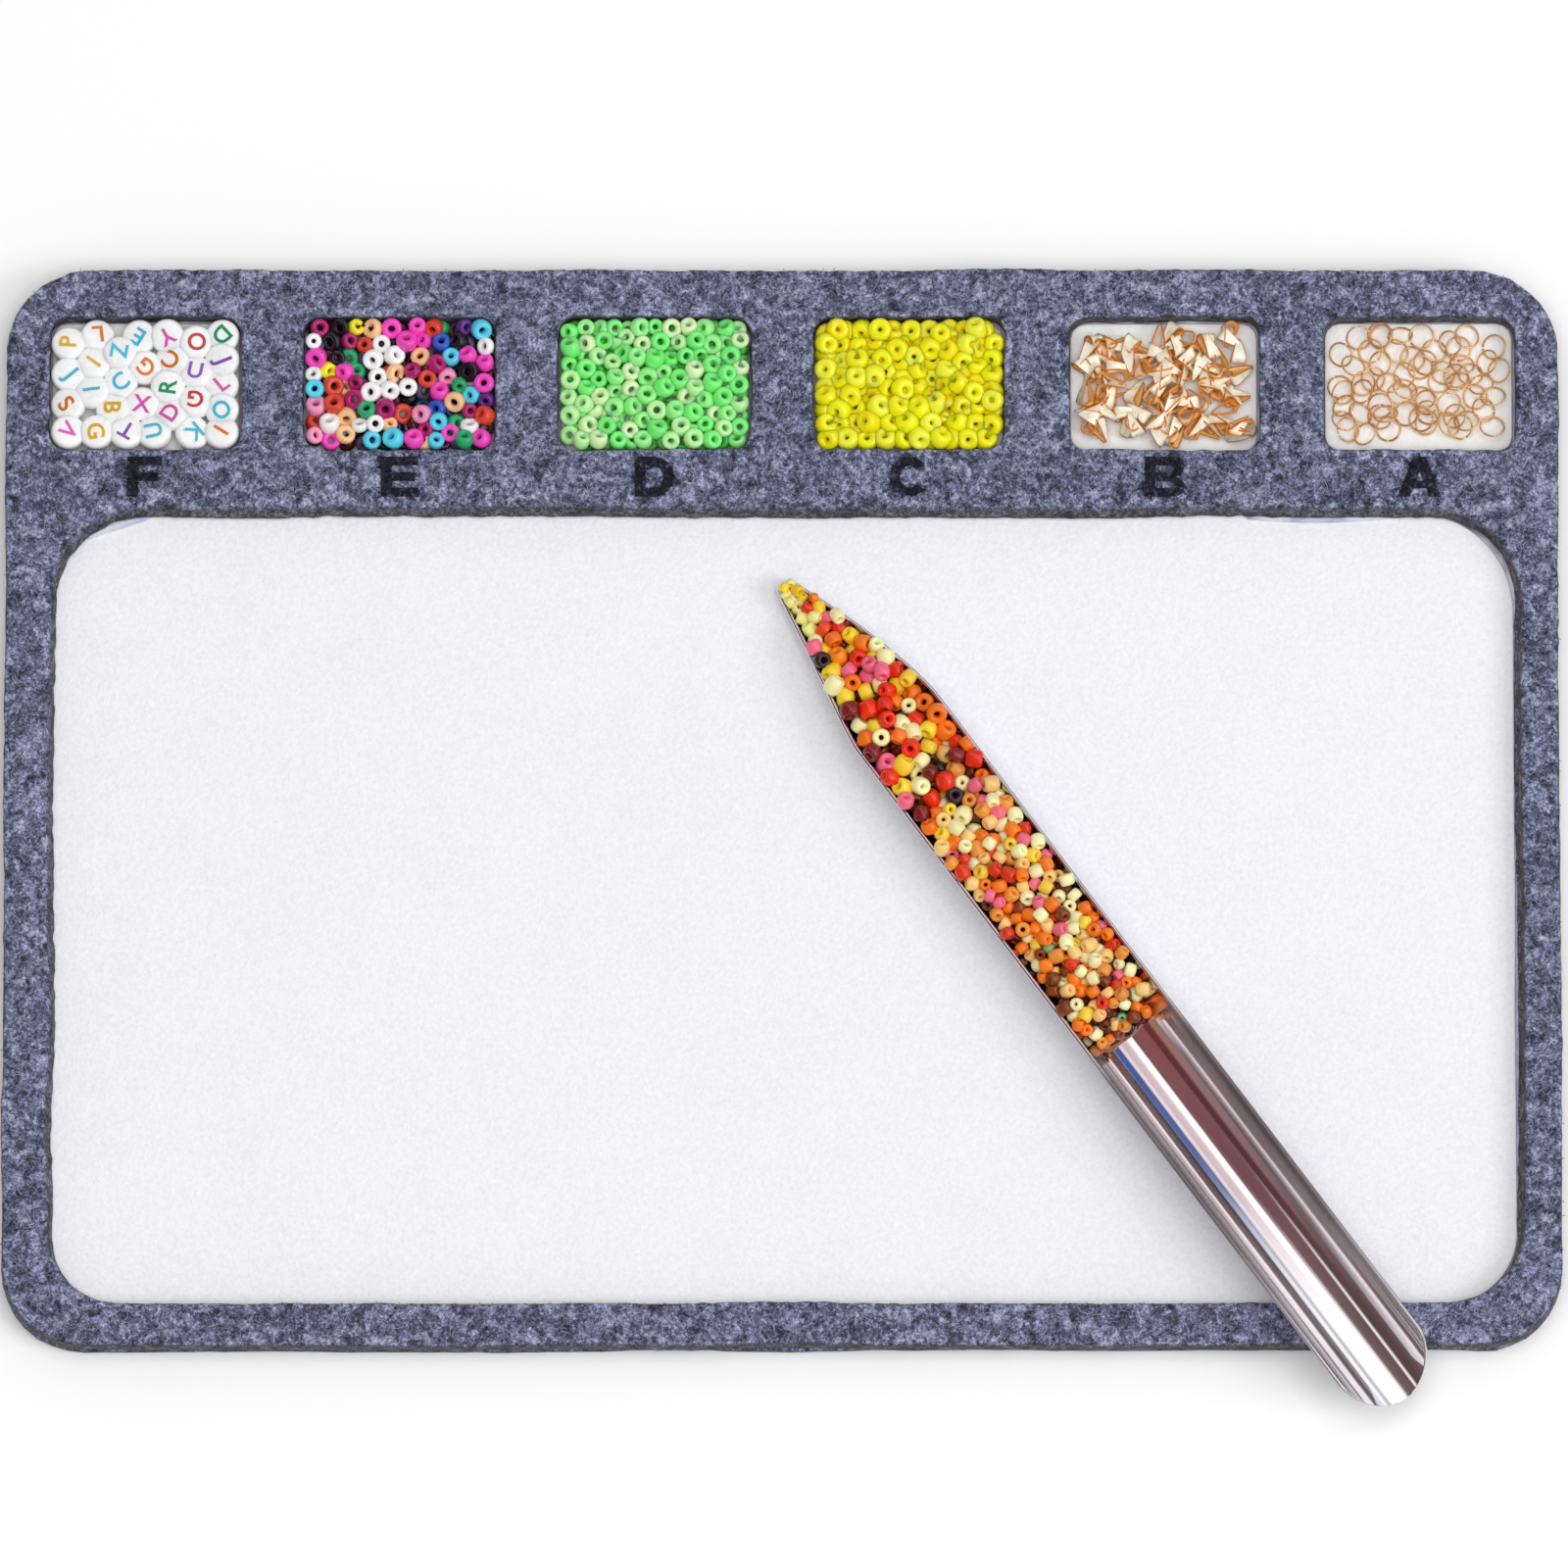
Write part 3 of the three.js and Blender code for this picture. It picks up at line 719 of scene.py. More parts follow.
def add_sheets():
    add_sheet("backing_felt", "base_felt", (MAT_CORNER, MAT_CORNER), BASE_SLAB, FELT, "felt", "table", 7)
    velour = {"slab": VELOUR_SLAB, "slot": "velour", "under": "adhesive_film"}
    corners = (WINDOW_BOTTOM_CORNER - INSERT_GAP, PANEL_TOP_CORNER)
    add_sheet("panel_velour", "work_panel", corners, material=VELOUR, seed=11, **velour)
    corners = (WELL_CORNER - INSERT_GAP, WELL_CORNER - INSERT_GAP)
    for seed, label in enumerate(WELL_LABELS, 20):
        names = ("pad_velour_" + label, "well_pad_" + label)
        # The pads use the whiter velour, painted light against the shade in the wells.
        add_sheet(*names, corners, material=LIT_PAD_VELOUR, seed=seed, **velour)


def film_sliver(name, path, widths):
    """A thin strip of film along a path on the panel, that wide on the path's right, where it curls up."""
    edge = path - leftward(path) * widths[:, None]
    level = panel_top + SLIVER_LIFT + SLIVER_WAVE * smooth_noise(path, SLIVER_WAVE_LENGTH, 3)
    under = np.column_stack([path, level])
    edge_under = np.column_stack([edge, level + SLIVER_CURL])
    rise = [0, 0, SLIVER_THICKNESS]
    points = np.stack([under, edge_under, edge_under + rise, under + rise], 1).reshape(-1, 3)
    make_piece(name, (points, turned(tube(len(path), 4))), FILM, "mat")


def add_film_slivers():
    """Film that stands out from under the frame at the window's back edge."""
    left, back = window_box[0][0], window_box[1][1]
    centre = np.array([left + WINDOW_TOP_CORNER, back - WINDOW_TOP_CORNER])
    turn = np.radians(np.linspace(*CORNER_SLIVER_ARC, SLIVER_STEPS))
    corner = centre + (WINDOW_TOP_CORNER - CORNER_SLIVER_TUCK) * np.column_stack([np.cos(turn), np.sin(turn)])
    film_sliver("film_sliver_left", corner, 0.5 + 2 * np.sin(np.linspace(0.25, math.pi, SLIVER_STEPS)) ** 0.7)
    along = np.linspace(*EDGE_SLIVER_SPAN, SLIVER_STEPS)
    straight = np.column_stack([along, np.full(SLIVER_STEPS, back - EDGE_SLIVER_TUCK)])
    film_sliver("film_sliver_right", straight, 0.6 + 1.3 * np.sin(np.linspace(0.5, 2.9, SLIVER_STEPS)))


# Loose fibres on the felt

def fibre_paths(rng, starts, headings, curl, lengths, rises):
    """Points along fibres that curl over the surface from their starts, and the heading at each point."""
    count = len(starts)
    share = np.arange(FIBRE_STEPS + 1) / FIBRE_STEPS
    turn = headings[:, None] + rng.normal(0, curl, count)[:, None] * share
    step = (rng.uniform(*lengths, count) / FIBRE_STEPS)[:, None]
    xs = starts[:, :1] + np.cumsum(np.cos(turn) * step, 1)
    ys = starts[:, 1:2] + np.cumsum(np.sin(turn) * step, 1)
    zs = starts[:, 2:3] + rng.uniform(*rises, count)[:, None] * np.sin(math.pi * share)
    return np.stack([xs, ys, zs], 2), turn


def fibre_tubes(centres, turn):
    """Three-sided tubes along fibre paths."""
    share = np.arange(FIBRE_STEPS + 1) / FIBRE_STEPS
    side = np.stack([-np.sin(turn), np.cos(turn), np.zeros_like(turn)], 2)
    radius = FIBRE_RADIUS * (1 - FIBRE_TAPER * np.abs(2 * share - 1) ** 3)[None, :, None]
    rings = []
    for angle in np.radians([90, 210, 330]):
        rings.append(centres + radius * (math.cos(angle) * side + math.sin(angle) * np.array([0, 0, 1])))
    points = np.stack(rings, 2).reshape(-1, 3)
    root = np.arange(len(centres)) * (FIBRE_STEPS + 1) * 3
    tip = root + 3 * FIBRE_STEPS
    first = root[:, None] + 3 * np.arange(FIBRE_STEPS)
    faces = []
    for k in range(3):
        after = (k + 1) % 3
        quads = np.stack([first + k, first + after, first + 3 + after, first + 3 + k], 2)
        faces += quads.reshape(-1, 4).tolist()
    faces += np.stack([root + 2, root + 1, root], 1).tolist()
    faces += np.stack([tip, tip + 1, tip + 2], 1).tolist()
    return points, faces


def add_surface_fibres():
    rng = np.random.default_rng(31)
    low, high = mat_box
    spots = rng.uniform(low[:2], high[:2], (FIBRE_TRIES, 2))
    starts = np.column_stack([spots, np.full(FIBRE_TRIES, felt_top + FIBRE_LIFT)])
    headings = rng.uniform(0, FULL_TURN, FIBRE_TRIES)
    centres, turn = fibre_paths(rng, starts, headings, curl=2.2, lengths=(1.2, 3.4), rises=(0.05, 0.3))
    flat = centres[:, :, :2]
    kept = inside(flat.reshape(-1, 2), frame_outlines, FIBRE_MARGIN).reshape(FIBRE_TRIES, -1).all(1)
    for label in WELL_LABELS:
        low, high = grown(box_mm("letter_" + label), LETTER_MARGIN)
        kept &= ~((flat > low[:2]) & (flat < high[:2])).all(2).any(1)
    shape = fibre_tubes(centres[kept][:FIBRE_COUNT], turn[kept][:FIBRE_COUNT])
    make_piece("felt_fibres", shape, FIBRE, "mat")


def add_letter_fibres():
    """Black fuzz on the letters, which softens their edges."""
    rng = np.random.default_rng(33)
    starts = []
    for label in WELL_LABELS:
        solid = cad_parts["letter_" + label]
        low, high = box_mm("letter_" + label)
        for x, y in rng.uniform(low[:2], high[:2], (LETTER_FIBRE_TRIES, 2)):
            if solid.ray_cast((x * MM, y * MM, 1), (0, 0, -1))[0]:
                starts.append([x, y, high[2] + LETTER_FIBRE_LIFT])
    headings = rng.uniform(0, FULL_TURN, len(starts))
    paths = fibre_paths(rng, np.array(starts), headings, curl=2, lengths=(0.6, 1.5), rises=(-0.1, 0.15))
    make_piece("letter_fibres", fibre_tubes(*paths), LETTER, "mat")


def add_edge_fibres():
    """Short fuzz that stands out of the cut edges."""
    rng = np.random.default_rng(32)
    starts, headings = [], []
    for outline, side in ((mat_outline, 1), (window_outline, -1)):
        loop, normal = rounded_loop(*outline, 0.5)
        chosen = rng.integers(0, len(loop), EDGE_FIBRE_COUNT // 2)
        level = rng.uniform(film_top + EDGE_FIBRE_FOOT, felt_top - EDGE_FIBRE_TOP, len(chosen))
        away = side * normal[chosen]
        heading = np.arctan2(away[:, 1], away[:, 0])
        starts.append(np.column_stack([loop[chosen] - EDGE_FIBRE_ROOT * away, level]))
        headings.append(heading + rng.normal(0, EDGE_FIBRE_SPREAD, len(chosen)))
    starts = np.concatenate(starts)
    headings = np.concatenate(headings)
    paths = fibre_paths(rng, starts, headings, curl=2.5, lengths=(0.4, 0.8), rises=(-0.2, 0.25))
    make_piece("edge_fibres", fibre_tubes(*paths), FIBRE, "mat")


# Heaps of beads

def even_angles(count):
    return FULL_TURN * np.arange(count) / count


def revolved(radii, levels, spin):
    """Points of a section turned about +Z, section by section."""
    flat = [np.outer(np.cos(spin), radii), np.outer(np.sin(spin), radii)]
    return np.stack([*flat, np.tile(levels, (len(spin), 1))], 2).reshape(-1, 3)


def ring_bead(length, hole, squareness=2.6):
    """A rounded bead one unit across with a through hole along +Z, as points and faces."""
    turn = even_angles(BEAD_STEPS)
    soft = 2 / squareness
    across = np.sign(np.cos(turn)) * np.abs(np.cos(turn)) ** soft
    along = np.sign(np.sin(turn)) * np.abs(np.sin(turn)) ** soft
    middle = (0.5 + hole / 2) / 2
    reach = (0.5 - hole / 2) / 2
    points = revolved(middle + reach * across, along * length / 2, even_angles(BEAD_SIDES))
    ids = np.arange(len(points)).reshape(BEAD_SIDES, BEAD_STEPS)
    return points, grid_faces(np.pad(ids, (0, 1), "wrap").T)


def axis_turns(axis, angles):
    """Turns by those angles about one of the axes, as matrices."""
    first, second = (axis + 1) % 3, (axis + 2) % 3
    turns = np.zeros((len(angles), 3, 3))
    turns[:, axis, axis] = 1
    turns[:, first, first] = turns[:, second, second] = np.cos(angles)
    turns[:, second, first] = np.sin(angles)
    turns[:, first, second] = -np.sin(angles)
    return turns


def spread_turns(rng, count, lean):
    """Turns that spin freely and lean up to that angle from upright, evenly over the cap."""
    tilt = np.arccos(1 - rng.uniform(0, 1, count) * (1 - math.cos(lean)))
    spin, way = rng.uniform(0, FULL_TURN, (2, count))
    return axis_turns(2, way) @ axis_turns(1, tilt) @ axis_turns(2, spin)


def scattered(parts, places, turns, floor=-math.inf):
    """Parts as (points, faces, colours), each turned, put in its place and lifted onto the floor, as one."""
    points, faces, colors = [], [], []
    start = 0
    for (part, part_faces, paint), place, turn in zip(parts, places, turns):
        moved = part @ turn.T + place
        moved[:, 2] += max(0, floor - moved[:, 2].min())
        points.append(moved)
        faces += [[i + start for i in face] for face in part_faces]
        colors.append(np.broadcast_to(paint, (len(moved), 4)))
        start += len(moved)
    return np.concatenate(points), faces, np.concatenate(colors)


def settle(rng, points, radii, contain, rounds):
    """Lets balls fall, shake and push each other apart until they lie in their container."""
    reach = radii[:, None] + radii[None]
    for step in range(rounds):
        calm = step / rounds
        points[:, 2] -= FALL * (1 - calm)
        points += rng.normal(0, SHAKE, points.shape) * max(0, SHAKE_SHARE - calm)
        if step % PAIR_ROUNDS == 0:
            distance = np.linalg.norm(points[:, None] - points[None], axis=2)
            first, second = np.nonzero(np.triu(distance < reach + PAIR_REACH, 1))
            touch = radii[first] + radii[second]
        for _ in range(PUSHES):
            offset = points[first] - points[second]
            distance = np.linalg.norm(offset, axis=1) + TINY
            push = PUSH * offset * (np.maximum(touch - distance, 0) / distance)[:, None]
            for axis in range(3):
                points[:, axis] += np.bincount(first, push[:, axis], len(points))
                points[:, axis] -= np.bincount(second, push[:, axis], len(points))
            points = contain(points)
    return points


def inside_well(points, label, margin):
    """Moves points into a well with rounded corners, that far from its walls."""
    centre, half = flat_middle(well_boxes[label])
    corner = np.maximum(WELL_CORNER - margin, LEAST_REACH)
    core = half[None] - margin[:, None] - corner[:, None]
    offset = points - centre
    nearest = np.clip(offset, -core, core)
    beyond = offset - nearest
    length = np.linalg.norm(beyond, axis=1) + TINY
    return centre + nearest + beyond * np.minimum(1, corner / length)[:, None]


def settle_in_well(rng, label, sizes, tightness):
    """Places for flattened balls of those sizes in a well."""
    low, high = pad_boxes[label]
    radii = sizes / 2 * tightness
    margin = sizes / 2 + SIDE_GAP

    def contain(points):
        flat = inside_well(points[:, :2], label, margin)
        return np.column_stack([flat, np.maximum(points[:, 2], sizes / 2)])

    start = rng.uniform([*low[:2], DROP_LOW], [*high[:2], DROP_HIGH], (len(sizes), 3))
    places = settle(rng, start, radii, contain, SETTLE_ROUNDS)
    places[:, 2] = panel_top + BEAD_FLATNESS * places[:, 2]
    return places


def palette_colors(rng, palette, count, amount):
    """Colours drawn from a palette of (weight, red, green, blue), their brightness varied by that share."""
    weights = np.array([weight for weight, *_ in palette])
    chosen = rng.choice(len(palette), count, p=weights / weights.sum())
    colors = np.array([srgb(*color) for _, *color in palette])[chosen]
    light = 1 + amount * rng.uniform(-1, 1, (count, 1))
    colors[:, :3] = np.clip(colors[:, :3] * light, 0, 1)
    return colors


def under_others(places, sizes):
    """Which beads lie mostly under other beads."""
    across = np.linalg.norm(places[:, None, :2] - places[None, :, :2], axis=2)
    above = places[None, :, 2] - places[:, None, 2]
    return ((across < COVER_REACH * sizes[:, None]) & (above > COVER_RISE * sizes[:, None])).any(1)


def bead_parts(rng, shapes, sizes, colors):
    """For each size and colour, a bead of one of the shapes, which are given as ring_bead takes them."""
    beads = [ring_bead(*shape) for shape in shapes]
    kinds = rng.integers(0, len(beads), len(sizes))
    return [(size * beads[kind][0], beads[kind][1], color) for kind, size, color in zip(kinds, sizes, colors)]


def add_seed_fill(
    name, label, solid, material, seed, count, size, spread, tightness, shapes, below, palette
):
    """One well of seed beads, with painted shade: beads that lie below others are tinted darker."""
    rng = np.random.default_rng(seed)
    sizes = size * rng.uniform(*spread, count)
    places = settle_in_well(rng, label, sizes, tightness)
    kept = places[:, 2] + BEAD_FLATNESS * sizes / 2 < FILL_TOP
    places, sizes = places[kept], sizes[kept]
    colors = palette_colors(rng, palette, len(sizes), SHADE_SPREAD)
    # Painted shade: beads that lie under others are darkened by the below tint.
    colors[under_others(places, sizes), :3] *= below
    turns = spread_turns(rng, len(sizes), BEAD_LEAN)
    parts = bead_parts(rng, shapes, sizes, colors)
    make_piece(name, scattered(parts, places, turns, fill_floor), material, "fill_" + label, solid)


def add_seed_fills():
    add_seed_fill(
        "green_seed_beads", "d", "green_beads", SEED_MILKY,
        seed=41, count=185, size=4, spread=(0.88, 1.1), tightness=0.9,
        shapes=[(0.72, 0.3), (0.85, 0.28), (0.6, 0.34)],
        below=(0.16, 0.44, 0.17),
        palette=[(5, 158, 255, 150), (3, 192, 255, 172), (4, 128, 248, 130), (2, 222, 255, 190)],
    )
    add_seed_fill(
        "yellow_seed_beads", "c", "yellow_beads", SEED_MILKY,
        seed=42, count=168, size=4.9, spread=(0.94, 1.06), tightness=0.79,
        shapes=[(0.85, 0.14, 2.4), (0.75, 0.17, 2.4)],
        below=(1, 0.86, 0.6),
        palette=[(6, 255, 243, 10), (3, 255, 236, 4), (2, 255, 250, 60)],
    )
    add_seed_fill(
        "mixed_seed_beads", "e", "mixed_beads", SEED_SOLID,
        seed=43, count=215, size=4.1, spread=(0.82, 1.12), tightness=0.92,
        shapes=[(0.5, 0.32), (0.75, 0.26), (0.62, 0.3, 3.4)],
        below=(0.07, 0.05, 0.1),
        palette=[
            (6, 90, 214, 242), (7, 248, 74, 194), (4, 172, 24, 104), (9, 255, 253, 253),
            (1, 255, 240, 36), (2, 36, 168, 108), (2, 44, 88, 196), (4, 214, 66, 46),
            (3, 255, 200, 148), (3, 252, 156, 196), (1, 92, 36, 122), (6, 20, 14, 28),
        ],
    )


# Letter beads

COIN_WHITE = srgb(255, 255, 254)
LETTER_PALETTE = [
    (3, 246, 88, 190), (3, 244, 124, 24), (3, 18, 158, 92), (3, 74, 202, 236),
    (2, 248, 186, 18), (2, 212, 28, 34), (1, 150, 84, 196),
]
LETTERS = "ABCDEFGHIJKLNOPRSTUVXYZ"


def coin_shape():
    """A flat round bead with rounded edges and closed faces, as points and faces."""
    half = COIN_THICKNESS / 2
    flat = COIN_DIAMETER / 2 - COIN_ROUNDING
    profile = [(flat, -half)]
    for turn in np.radians([-60, -30, 0, 30, 60]):
        level = half * math.sin(turn) / math.sin(math.radians(75))
        profile.append((flat + COIN_ROUNDING * math.cos(turn), level))
    profile.append((flat, half))
    points = [[r * math.cos(a), r * math.sin(a), z] for r, z in profile for a in even_angles(COIN_SIDES)]
    return np.array(points), tube(len(profile), COIN_SIDES)


def letter_shape(letter):
    """A thin plain letter, centred, as points and faces."""
    curve = put(bpy.data.curves.new("letter", "FONT"), body=letter, size=LETTER_SIZE * FONT_SCALE)
    put(curve, extrude=0.03, offset=0.09, resolution_u=4, align_x="CENTER", align_y="CENTER")
    holder = link("letter", curve)
    bpy.context.view_layer.update()
    mesh = holder.to_mesh()
    points = np.array([v.co for v in mesh.vertices])
    faces = [list(face.vertices) for face in mesh.polygons]
    holder.to_mesh_clear()
    bpy.data.objects.remove(holder)
    bpy.data.curves.remove(curve)
    return points - (points.min(0) + points.max(0)) / 2, faces


def coin_places(rng):
    """Places for flat beads side by side in the well, some a little higher than others."""
    low, high = pad_boxes["f"]
    radii = np.full(COIN_COUNT, COIN_DIAMETER / 2)
    level = np.zeros(COIN_COUNT)
    start = np.column_stack([rng.uniform(low[:2], high[:2], (COIN_COUNT, 2)), level])

    def contain(points):
        return np.column_stack([inside_well(points[:, :2], "f", radii + SIDE_GAP), level])

    places = settle(rng, start, radii * COIN_TIGHTNESS, contain, COIN_ROUNDS)
    places[:, 2] = panel_top + COIN_THICKNESS / 2 + rng.uniform(*COIN_LIFT, COIN_COUNT)
    return places


def add_letter_beads():
    rng = np.random.default_rng(44)
    places = coin_places(rng)
    turns = spread_turns(rng, COIN_COUNT, COIN_LEAN)
    inks = palette_colors(rng, LETTER_PALETTE, COIN_COUNT, SHADE_SPREAD)
    coin, coin_faces = coin_shape()
    letters = [letter_shape(letter) for letter in LETTERS]
    parts = []
    for ink in inks:
        letter, letter_faces = letters[rng.integers(len(letters))]
        raised = letter + [0, 0, COIN_THICKNESS / 2 + LETTER_RISE]
        faces = coin_faces + [[i + len(coin) for i in face] for face in letter_faces]
        paint = np.repeat([COIN_WHITE, ink], [len(coin), len(letter)], 0)
        parts.append((np.concatenate([coin, raised]), faces, paint))
    shape = scattered(parts, places, turns, fill_floor)
    make_piece("letter_coin_beads", shape, COIN_GLOSS, "fill_f", "letter_beads")


# Findings

STRIP_FACE = srgb(255, 250, 230)
# Painted shade: the inner side of each fold is drawn darker orange, as if in its own shadow.
STRIP_INSIDE_SHADE = srgb(255, 208, 136)
STRIP_EDGE = srgb(214, 124, 24)


def wire_ring():
    """A jump ring with a small split, as points and faces."""
    wire = RING_WIRE / 2
    turn = np.radians(np.linspace(RING_SPLIT, 360 - RING_SPLIT, RING_STEPS))
    angle = even_angles(WIRE_SIDES)
    points = revolved(RING_DIAMETER / 2 - wire + wire * np.cos(angle), wire * np.sin(angle), turn)
    return points, turned(tube(RING_STEPS, WIRE_SIDES))


def folded_strip():
    """A leaf of sheet folded round into a pinched triangle with open ends: points, faces and colours."""
    right = [(0.15, 1), (0.5, 0.72), (0.85, 0.38), (1, 0.1), (0.6, 0)]
    outline = np.array(right + [(0, -0.04)] + [(-x, y) for x, y in right[::-1]])
    path = outline * [FINDING_BASE / 2, FINDING_LENGTH] - [0, FINDING_LENGTH / 2]
    width = FINDING_STRIP / 2 * (1 - FINDING_TAPER * np.clip(outline[:, 1], 0, 1) ** 1.3)
    levels = (-1, -0.72, 0, 0.72, 1)
    across = [(0.5, level) for level in levels] + [(-0.5, level) for level in levels[::-1]]
    points, colors = [], []
    for spot, way, reach in zip(path, leftward(path), width):
        for side, level in across:
            cup = FINDING_CUP * (1 - level * level) * reach / FINDING_STRIP
            points.append([*(spot + way * (side * FINDING_SHEET - cup)), level * reach])
            # The inner side carries the painted shade colour.
            face = STRIP_FACE if side > 0 else STRIP_INSIDE_SHADE
            colors.append(STRIP_EDGE if abs(level) == 1 else face)
    return np.array(points), tube(len(path), len(across)), np.array(colors)


def even_spots(count, low, high):
    """Spots spread evenly over a box without rows."""
    steps = np.arange(1, count + 1)[:, None] * [0.7548777, 0.5698403]
    return low + (steps - np.floor(steps)) * (high - low)


def add_jump_rings():
    rng = np.random.default_rng(45)
    low, high = grown(pad_boxes["a"], -RING_DIAMETER / 2)
    flat = even_spots(RING_COUNT, low[:2], high[:2]) + rng.normal(0, RING_SHIFT, (RING_COUNT, 2))
    level = panel_top + rng.uniform(*RING_LIFT, RING_COUNT)
    places = np.column_stack([np.clip(flat, low[:2], high[:2]), level])
    turns = spread_turns(rng, RING_COUNT, RING_LEAN)
    shape = scattered([(*wire_ring(), WHITE)] * RING_COUNT, places, turns, fill_floor)
    make_piece("copper_jump_rings", shape[:2], COPPER, "fill_a", "jump_rings")


def add_folded_findings():
    rng = np.random.default_rng(46)
    centre, half = flat_middle(pad_boxes["b"])
    half = half - FINDING_LENGTH * FINDING_MARGIN_SHARE
    share = even_spots(FINDING_COUNT, -np.ones(2), np.ones(2))
    share += rng.normal(0, FINDING_SHIFT_SHARE, (FINDING_COUNT, 2))
    level = panel_top + rng.uniform(*FINDING_LIFT, FINDING_COUNT)
    places = np.column_stack([centre + half * np.clip(share, -1, 1), level])
    heading, roll = rng.uniform(0, FULL_TURN, (2, FINDING_COUNT))
    pitch = rng.normal(0, FINDING_PITCH, FINDING_COUNT)
    turns = axis_turns(2, heading) @ axis_turns(0, pitch) @ axis_turns(1, roll)
    shape = scattered([folded_strip()] * FINDING_COUNT, places, turns, fill_floor)
    make_piece("folded_gilt_findings", shape, GILT, "fill_b", "folded_findings")


# Scoop, in its own frame: the tip at the origin, the gutter along +X, its lowest line at z = 0

body_radius = SCOOP_WIDTH / 2 / math.sin(SCOOP_RIM_ANGLE)
spout_radius = SPOUT_WIDTH / 2 / math.sin(SCOOP_RIM_ANGLE)


def spout_share(along):
    return np.clip(np.asarray(along) / SPOUT_LENGTH, 0, 1)


def scoop_radius(along):
    return spout_radius + (body_radius - spout_radius) * (1 - (1 - spout_share(along)) ** 1.25)


def rim_height(along):
    return scoop_radius(along) * (1 - math.cos(SCOOP_RIM_ANGLE))


def spout_lean(along):
    """The spout's small bend to one side of the gutter's middle line."""
    share = spout_share(along)
    return SPOUT_LEAN * (np.sin(math.pi * share) - (1 - share))


def scoop_rim(along):
    """The angle from the gutter's lowest line to its rim."""
    share = max(0, (along - SCOOP_LENGTH + TAIL_LENGTH) / TAIL_LENGTH)
    half_width = SCOOP_WIDTH / 2 * math.sqrt(max(0, 1 - share * share))
    return math.asin(max(half_width, TAIL_TIP_WIDTH / 2) / body_radius)


def scoop_place():
    """The scoop frame's axes as columns, and its origin."""
    rest = SCOOP_LENGTH - SCOOP_OVERHANG
    pitch = math.asin((felt_top - panel_top) / rest)
    run = rest * math.cos(pitch)
    cosine, sine = math.cos(SCOOP_HEADING), math.sin(SCOOP_HEADING)
    left = window_box[1][0] - SCOOP_SIDE_OFFSET - run * cosine
    origin = np.array([left, window_box[0][1] + run * sine, panel_top + REST_GAP])
    along = np.array([cosine * math.cos(pitch), -sine * math.cos(pitch), math.sin(pitch)])
    side = np.array([sine, cosine, 0])
    return np.column_stack([along, side, np.cross(along, side)]), origin


scoop_axes, scoop_origin = scoop_place()


def scoop_world(points):
    return points @ scoop_axes.T + scoop_origin


def add_scoop():
    spout = SPOUT_LENGTH * np.linspace(0, 1, 15)
    middle = np.linspace(SPOUT_LENGTH, SCOOP_LENGTH - TAIL_LENGTH, 20)[1:-1]
    tail = SCOOP_LENGTH - TAIL_LENGTH + TAIL_LENGTH * np.sin(np.linspace(0, math.pi / 2, 16))
    rings, rim_reflection_shares = [], []
    for along in np.concatenate([spout, middle, tail]):
        radius = float(scoop_radius(along))
        rim = scoop_rim(along)
        lip = rim + SCOOP_WALL * LIP_SHARE / radius
        turn = np.linspace(-rim, rim, ARC_STEPS + 1)
        angles = np.concatenate([turn, [lip], turn[::-1], [-lip]])
        depths = np.repeat([0, 0.5, 1, 0.5], [len(turn), 1, len(turn), 1]) * SCOOP_WALL
        across = (radius - depths) * np.sin(angles)
        level = radius - (radius - depths) * np.cos(angles)
        rings.append(np.column_stack([np.full(len(across), along), across + spout_lean(along), level]))
        # Painted reflection: how much of the darker mauve rim colour each point gets, less toward the tail
        # end and none along the load.
        fade = np.clip((SCOOP_LENGTH - along) / TAIL_FADE, TAIL_REFLECTION_SHARE, 1)
        fade *= np.clip((along - LOAD_END) / LOAD_FADE, 0, 1)
        rim_reflection_shares.append(fade * np.clip((np.abs(across) / radius - RIM_START) / RIM_BLEND, 0, 1))
    count = len(rings[0])
    end = count - 2
    tip = [[k, end - k, end - k - 1, k + 1] for k in range(ARC_STEPS)]
    tip += [[ARC_STEPS, ARC_STEPS + 2, ARC_STEPS + 1], [0, count - 1, end]]
    ids = np.arange(len(rings) * count).reshape(-1, count)
    last = ids[-1].tolist()
    faces = tube_sides(ids) + tip + [[last[k] for k in face[::-1]] for face in tip]
    shape = (scoop_world(np.concatenate(rings)), faces)
    piece = make_piece("steel_scoop", shape, STEEL, "scoop", "scoop")
    attribute = piece.data.attributes.new("rim_reflection_share", "FLOAT", "POINT")
    attribute.data.foreach_set("value", np.concatenate(rim_reflection_shares).astype(np.float32))


# Palettes along the scoop: yellow at the tip, red in front, tan behind
LOAD_PALETTES = [
    [(7, 255, 242, 150), (7, 255, 212, 48), (2.5, 250, 140, 28), (0.7, 228, 70, 20)],
    [
        (8, 255, 244, 180), (5, 255, 214, 52), (8, 252, 120, 20), (5, 230, 44, 8),
        (3.5, 244, 106, 138), (1, 128, 26, 22), (1, 40, 22, 26),
    ],
    [
        (6.5, 252, 124, 22), (3, 236, 150, 60), (4, 255, 204, 124), (9, 255, 243, 184), (3.5, 246, 114, 136),
        (2.5, 224, 56, 14), (3, 255, 214, 66), (1.5, 132, 58, 18), (0.4, 130, 196, 140),
    ],
]
LOAD_SHAPES = [(0.72, 0.26), (0.9, 0.2, 2.2), (1.0, 0.18, 2.2)]
# Painted shade: beads that lie under others in the scoop are tinted this dark.
DEEP_LOAD_SHADE = (0.12, 0.05, 0.04)


def load_share(along):
    return (along - LOAD_START) / (LOAD_END - LOAD_START)


